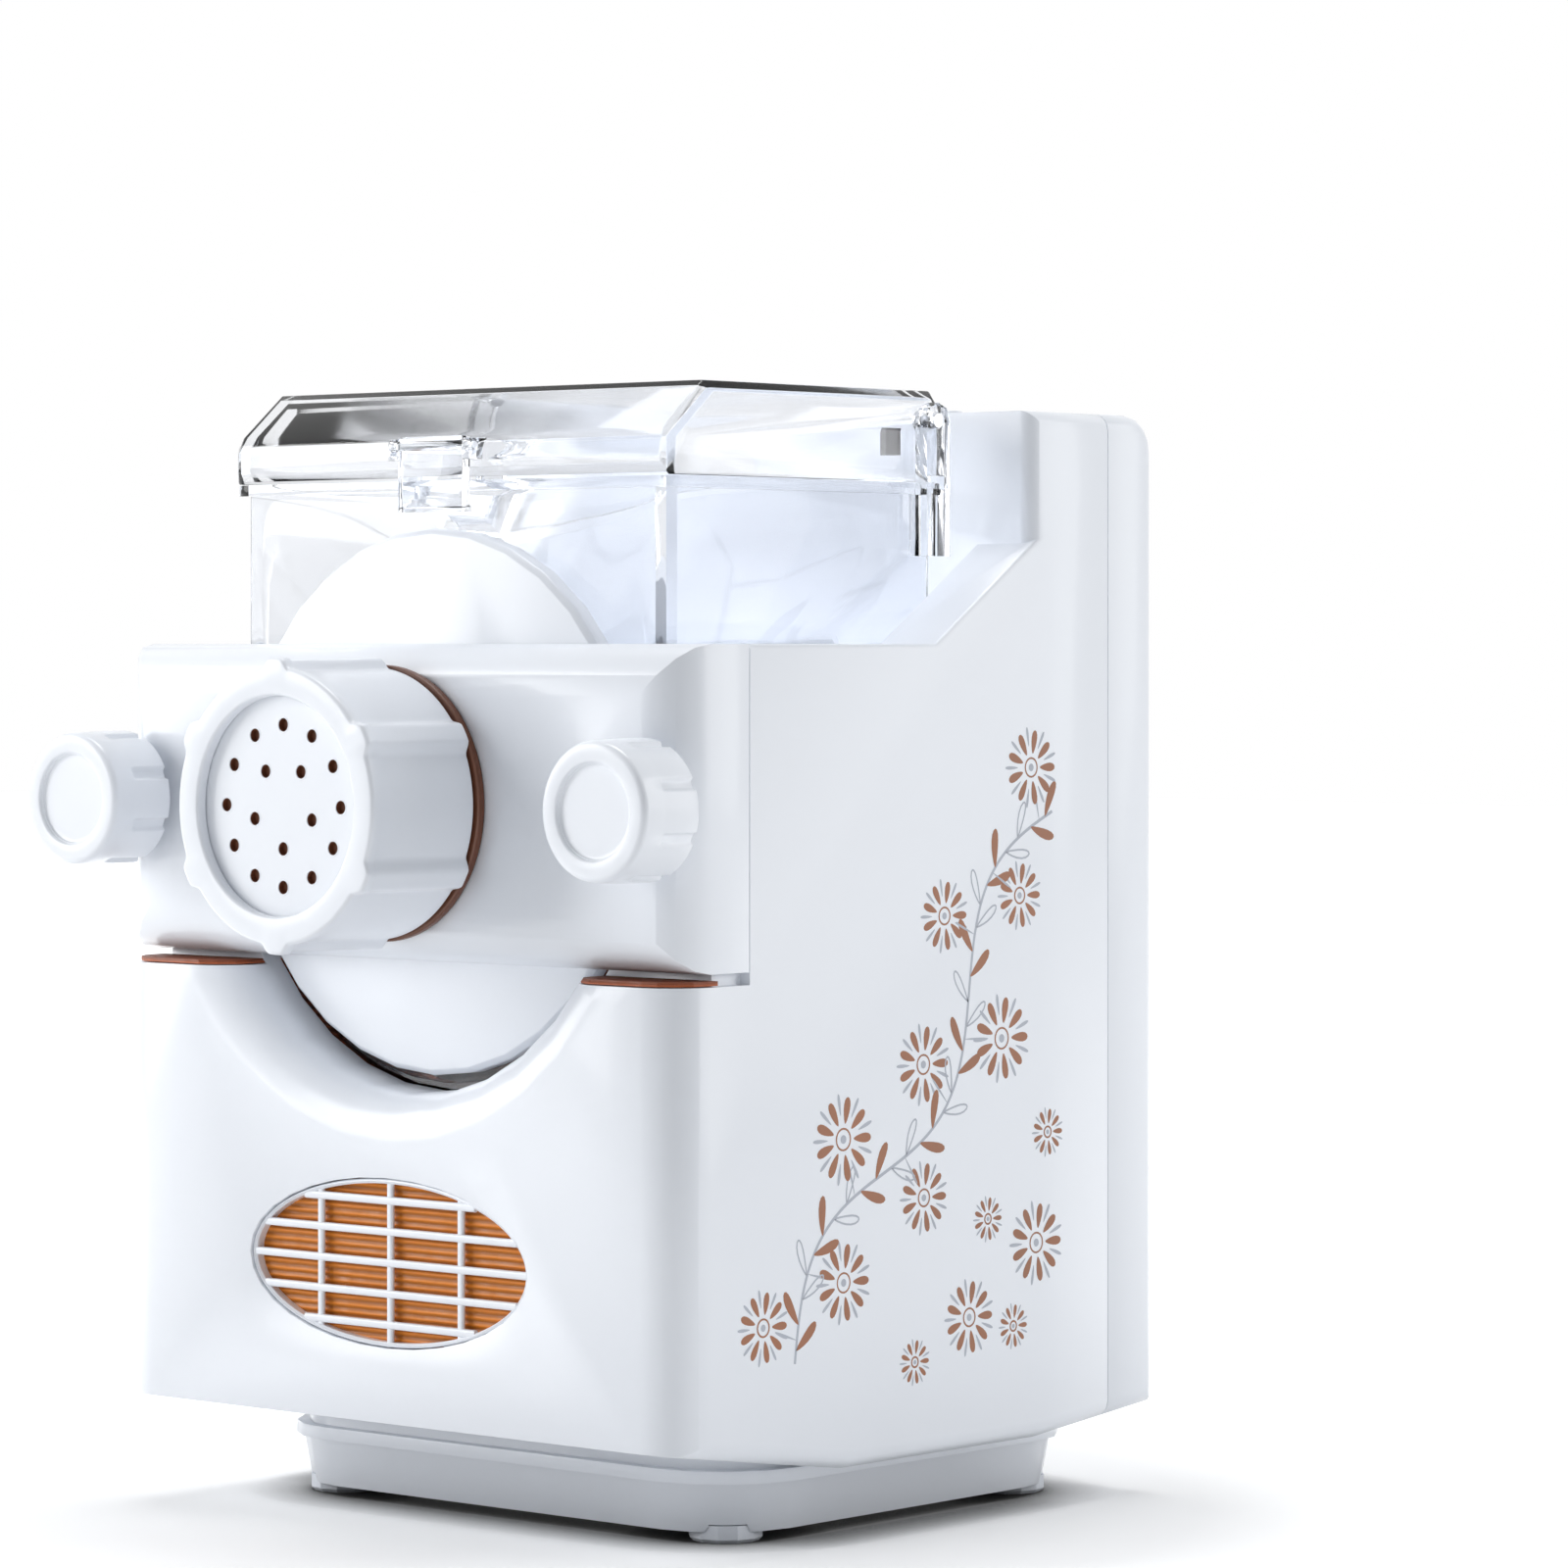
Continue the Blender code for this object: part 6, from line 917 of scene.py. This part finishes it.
def flat_shape(drawing, segments, place_of):
    """A flat face whose rim points are placed by place_of(turn), a hair above the last such face."""
    lift = PRINT_LAYER * (len(drawing.verts) % PRINT_LAYERS)
    made = bmesh.ops.create_circle(drawing, cap_ends=True, segments=segments, radius=1)
    for vertex in made["verts"]:
        across, up = place_of(math.atan2(vertex.co.y, vertex.co.x))
        vertex.co = (lift, across, up)
    face = made["verts"][0].link_faces[0]
    face.normal_update()
    for vertex in face.verts:
        vertex.normal_update()
    return face


def on_heading(root, heading, along, side):
    """The place that is that far along the heading and to the left of it."""
    cos, sin = math.cos(heading), math.sin(heading)
    return root[0] + along * cos - side * sin, root[1] + along * sin + side * cos


def petal(drawing, root, heading, length, width, bend=0.0, segments=16):
    """A drop-shaped petal that starts at root and points along its heading."""
    def place_of(turn):
        along = (math.cos(turn) + 1) / 2
        widening = PETAL_ROOT_SHARE + (1 - PETAL_ROOT_SHARE) * along
        side = math.sin(turn) * width / 2 * widening + bend * length * along * along
        return on_heading(root, heading, length * along, side)
    return flat_shape(drawing, segments, place_of)


def disc(drawing, middle, radius, segments=20):
    """A flat disc about a middle point."""
    return flat_shape(drawing, segments, lambda turn: on_heading(middle, turn, radius, 0))


def as_outline(drawing, face, width):
    """Leaves only a line of that width inside the face's rim."""
    bmesh.ops.inset_region(
        drawing, faces=[face], thickness=width, use_even_offset=True, use_boundary=True
    )
    bmesh.ops.delete(drawing, geom=[face], context="FACES_ONLY")


def daisy(brown, grey, middle, radius):
    """A round flower: a ring for its eye, brown petals, and grey outlined ones between them."""
    start, length, width = [radius * share for share in DAISY_PETAL_SHARES]
    between, long, thin = [radius * share for share in DAISY_BETWEEN_SHARES]
    for i in range(DAISY_PETALS):
        turn = 2 * math.pi * i / DAISY_PETALS
        petal(brown, on_heading(middle, turn, start, 0), turn, length, width)
        turn += math.pi / DAISY_PETALS
        petal(grey, on_heading(middle, turn, between, 0), turn, long, thin)
    as_outline(brown, disc(brown, middle, radius * DAISY_EYE_SHARE), PRINT_LINE)
    disc(grey, middle, radius * DAISY_SEED_SHARE)


def garland_place(share):
    """The garland's place and heading at a share of its way."""
    run = GARLAND_END[0] - GARLAND_START[0]
    rise = GARLAND_END[1] - GARLAND_START[1]
    length = math.hypot(run, rise)
    turn = 2 * math.pi * GARLAND_WAVES * share
    slope = GARLAND_SWING * 2 * math.pi * GARLAND_WAVES * math.cos(turn) / length
    straight = math.atan2(rise, run)
    place = on_heading(GARLAND_START, straight, length * share, GARLAND_SWING * math.sin(turn))
    return place, straight + math.atan(slope)


def garland(brown, grey):
    """The stem, its leaves by turns filled and outlined, and its daisies."""
    rows = []
    for i in range(GARLAND_STEPS + 1):
        place, heading = garland_place(i / GARLAND_STEPS)
        sides = [on_heading(place, heading, 0, side * STEM_WIDTH / 2) for side in (-1, 1)]
        rows.append([grey.verts.new((0, *point)) for point in sides])
    for near, far in zip(rows, rows[1:]):
        grey.faces.new((near[0], near[1], far[1], far[0]))
    for i in range(LEAF_COUNT):
        place, heading = garland_place((i + 0.5) / LEAF_COUNT)
        side = 1 if i % 2 else -1
        filled = i % 4 < 2
        leaf = petal(
            brown if filled else grey, place, heading + side * LEAF_TURN, LEAF_LENGTH, LEAF_WIDTH,
            -LEAF_BEND * side,
        )
        if not filled:
            as_outline(grey, leaf, PRINT_LINE)
    for share, side, radius in DAISIES:
        place, heading = garland_place(share)
        heading += side * DAISY_TURN
        petal(grey, place, heading, DAISY_REACH + radius / 2, STEM_WIDTH)
        daisy(brown, grey, on_heading(place, heading, DAISY_REACH + radius, 0), radius)


def floral_print(ink_brown, ink_grey):
    """The printed ornament as flat ink shapes a hair off the right side."""
    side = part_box("main_housing")[1].x
    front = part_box("front_bar")[0].y
    brown, grey = bmesh.new(), bmesh.new()
    garland(brown, grey)
    for middle, radius in LOOSE_DAISIES:
        daisy(brown, grey, middle, radius)
    for name, drawing, ink in (("brown", brown, ink_brown), ("grey", grey, ink_grey)):
        bmesh.ops.translate(drawing, verts=drawing.verts, vec=(side + HAIR, front, 0))
        face_up(drawing, 0)
        piece_from(drawing, "floral_print_" + name, ink, "body")


# Marks on the buttons and digits in the display, all flat and seen from above

MARK_LIFT = 0.00003
MARK_THICK = 0.0009
MARK_REACH = 0.0026
MARK_RING = 0.0028
MARK_RING_GAP = math.radians(35)
MARK_RING_STEPS = 28
MARK_LINE_SHARE = 0.8
MARK_BAR_SHARES = (0.3, 1.1)
DIGIT_WIDTH = 0.0030
DIGIT_HEIGHT = 0.0054
DIGIT_STROKE = 0.0007
DIGIT_PITCH = 0.0048
DIGIT_GAP_SHARE = 0.12
DIGIT_SHARES = {
    "top": ((0, 1), (1, 1)), "middle": ((0, 0.5), (1, 0.5)), "bottom": ((0, 0), (1, 0)),
    "left_high": ((0, 0.5), (0, 1)), "left_low": ((0, 0), (0, 0.5)),
    "right_high": ((1, 0.5), (1, 1)), "right_low": ((1, 0), (1, 0.5)),
}
DIGITS = (
    ("top", "bottom", "left_high", "left_low", "right_high", "right_low"),
    ("right_high", "right_low"),
    ("top", "middle", "bottom", "left_high", "right_low"),
)


def stroke(drawing, start, end, width, height):
    """A flat bar from start to end, seen from above, at that height."""
    along = Vector((end[0] - start[0], end[1] - start[1], 0)).normalized() * width / 2
    across = Vector((-along.y, along.x, 0))
    first = Vector((*start, height)) - along
    last = Vector((*end, height)) + along
    corners = (first - across, last - across, last + across, first + across)
    drawing.faces.new([drawing.verts.new(corner) for corner in corners])


def arc_line(drawing, middle, radius, width, height, start, end):
    """A flat curved line round a middle, seen from above, between two angles."""
    rows = []
    place = Vector((*middle, height))
    for i in range(MARK_RING_STEPS + 1):
        turn = start + (end - start) * i / MARK_RING_STEPS
        out = Vector((math.cos(turn), math.sin(turn), 0))
        rows.append([drawing.verts.new(place + out * (radius + side * width / 2)) for side in (-1, 1)])
    for near, far in zip(rows, rows[1:]):
        drawing.faces.new((near[0], near[1], far[1], far[0]))


def mark_minus(drawing, x, y, z):
    """A level bar."""
    stroke(drawing, (x - MARK_REACH, y), (x + MARK_REACH, y), MARK_THICK, z)


def mark_plus(drawing, x, y, z):
    """A level bar with an upright one over it."""
    mark_minus(drawing, x, y, z)
    stroke(drawing, (x, y - MARK_REACH), (x, y + MARK_REACH), MARK_THICK, z + MARK_LIFT / 2)


def mark_mode(drawing, x, y, z):
    """Three level lines."""
    for row in (-1, 0, 1):
        level = y + row * MARK_REACH * MARK_LINE_SHARE
        start, end = (x - MARK_REACH, level), (x + MARK_REACH, level)
        stroke(drawing, start, end, MARK_THICK * MARK_LINE_SHARE, z)


def mark_start(drawing, x, y, z):
    """A ring open at its top, with a short bar in the gap."""
    start = math.pi / 2 + MARK_RING_GAP
    end = math.pi / 2 + 2 * math.pi - MARK_RING_GAP
    arc_line(drawing, (x, y), MARK_RING, MARK_THICK, z, start, end)
    low, high = [(x, y + MARK_RING * share) for share in MARK_BAR_SHARES]
    stroke(drawing, low, high, MARK_THICK, z)


def button_marks(ink):
    """A plain printed mark on each button, riding with it."""
    marks = {"minus": mark_minus, "plus": mark_plus, "mode": mark_mode, "start": mark_start}
    for name, draw in marks.items():
        low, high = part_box("button_" + name)
        drawing = bmesh.new()
        draw(drawing, (low.x + high.x) / 2, (low.y + high.y) / 2, high.z + MARK_LIFT)
        face_up(drawing, 2)
        piece_from(drawing, "printed_mark_" + name, ink, name)


def face_up(drawing, axis):
    """Turns every flat face so that it looks along the positive axis."""
    drawing.normal_update()
    for face in drawing.faces:
        if face.normal[axis] < 0:
            face.normal_flip()


def display_digits(glow):
    """Three seven-bar digits, flat on the display's window, whose pale blue is a painted glow."""
    low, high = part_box("display_window")
    middle = ((low.x + high.x) / 2, (low.y + high.y) / 2)
    drawing = bmesh.new()
    for place, bars in enumerate(DIGITS):
        left = middle[0] + (place - (len(DIGITS) - 1) / 2) * DIGIT_PITCH - DIGIT_WIDTH / 2
        foot = middle[1] - DIGIT_HEIGHT / 2
        for bar in bars:
            start, end = [
                (left + across * DIGIT_WIDTH, foot + up * DIGIT_HEIGHT) for across, up in DIGIT_SHARES[bar]
            ]
            shares = (DIGIT_GAP_SHARE, 1 - DIGIT_GAP_SHARE)
            short = [tuple(a + (b - a) * share for a, b in zip(start, end)) for share in shares]
            stroke(drawing, *short, DIGIT_STROKE, high.z + MARK_LIFT)
    face_up(drawing, 2)
    piece_from(drawing, "display_digits", glow, "body")


# Making it all: the nodes whose copies get rounded edges, with their slots and radii

ROUNDED_NODES = (
    ("main_housing", "white_plastic", 0.0007), ("rear_cover", "white_plastic", 0.0006),
    ("front_bar", "white_plastic", 0.0008), ("base_tray", "white_plastic", 0.0006),
    ("control_panel", "panel_grey", 0.0005), ("front_disc", "white_plastic", 0.0003),
    ("mixing_chamber", "clear_plastic", 0.0005), ("chamber_lid", "clear_plastic", 0.0006),
    ("lid_latch", "clear_plastic", 0.0004),
)

studio()
FINISHES = slot_finishes()
dress_nodes(FINISHES)
white = FINISHES["white_plastic"]
# The dark amber is painted shade: the ring between the nut and the bar, and the linings in the die's holes
dark_painted_shade = moulded("dark_painted_shade_plastic", DARK_PAINTED_SHADE, roughness=0.4, mottle=0.25)
die_nut(white)
for side in ("left", "right"):
    thumb_nut(side, white)
spacer_ring(dark_painted_shade)
die_holes(dark_painted_shade, white)
for node, slot, radius in ROUNDED_NODES:
    finer(node, FINISHES[slot], radius)
# The filter's amber is painted shade for the inside of the vent
vent(white, fluted("filter_amber_painted_shade", FILTER_PAINTED_SHADE, roughness=0.5))
floral_print(
    moulded("brown_print_ink", BROWN_INK, roughness=0.4, mottle=0.25),
    moulded("grey_print_ink", GREY_INK, roughness=0.4, mottle=0.12),
)
button_marks(moulded("grey_mark_ink", MARK_INK, roughness=0.45, mottle=0.15))
# The digits' pale blue is a painted glow, not a lamp
display_digits(moulded("pale_blue_digit_painted_glow", DIGIT_PAINTED_GLOW, roughness=0.4, mottle=0.1))
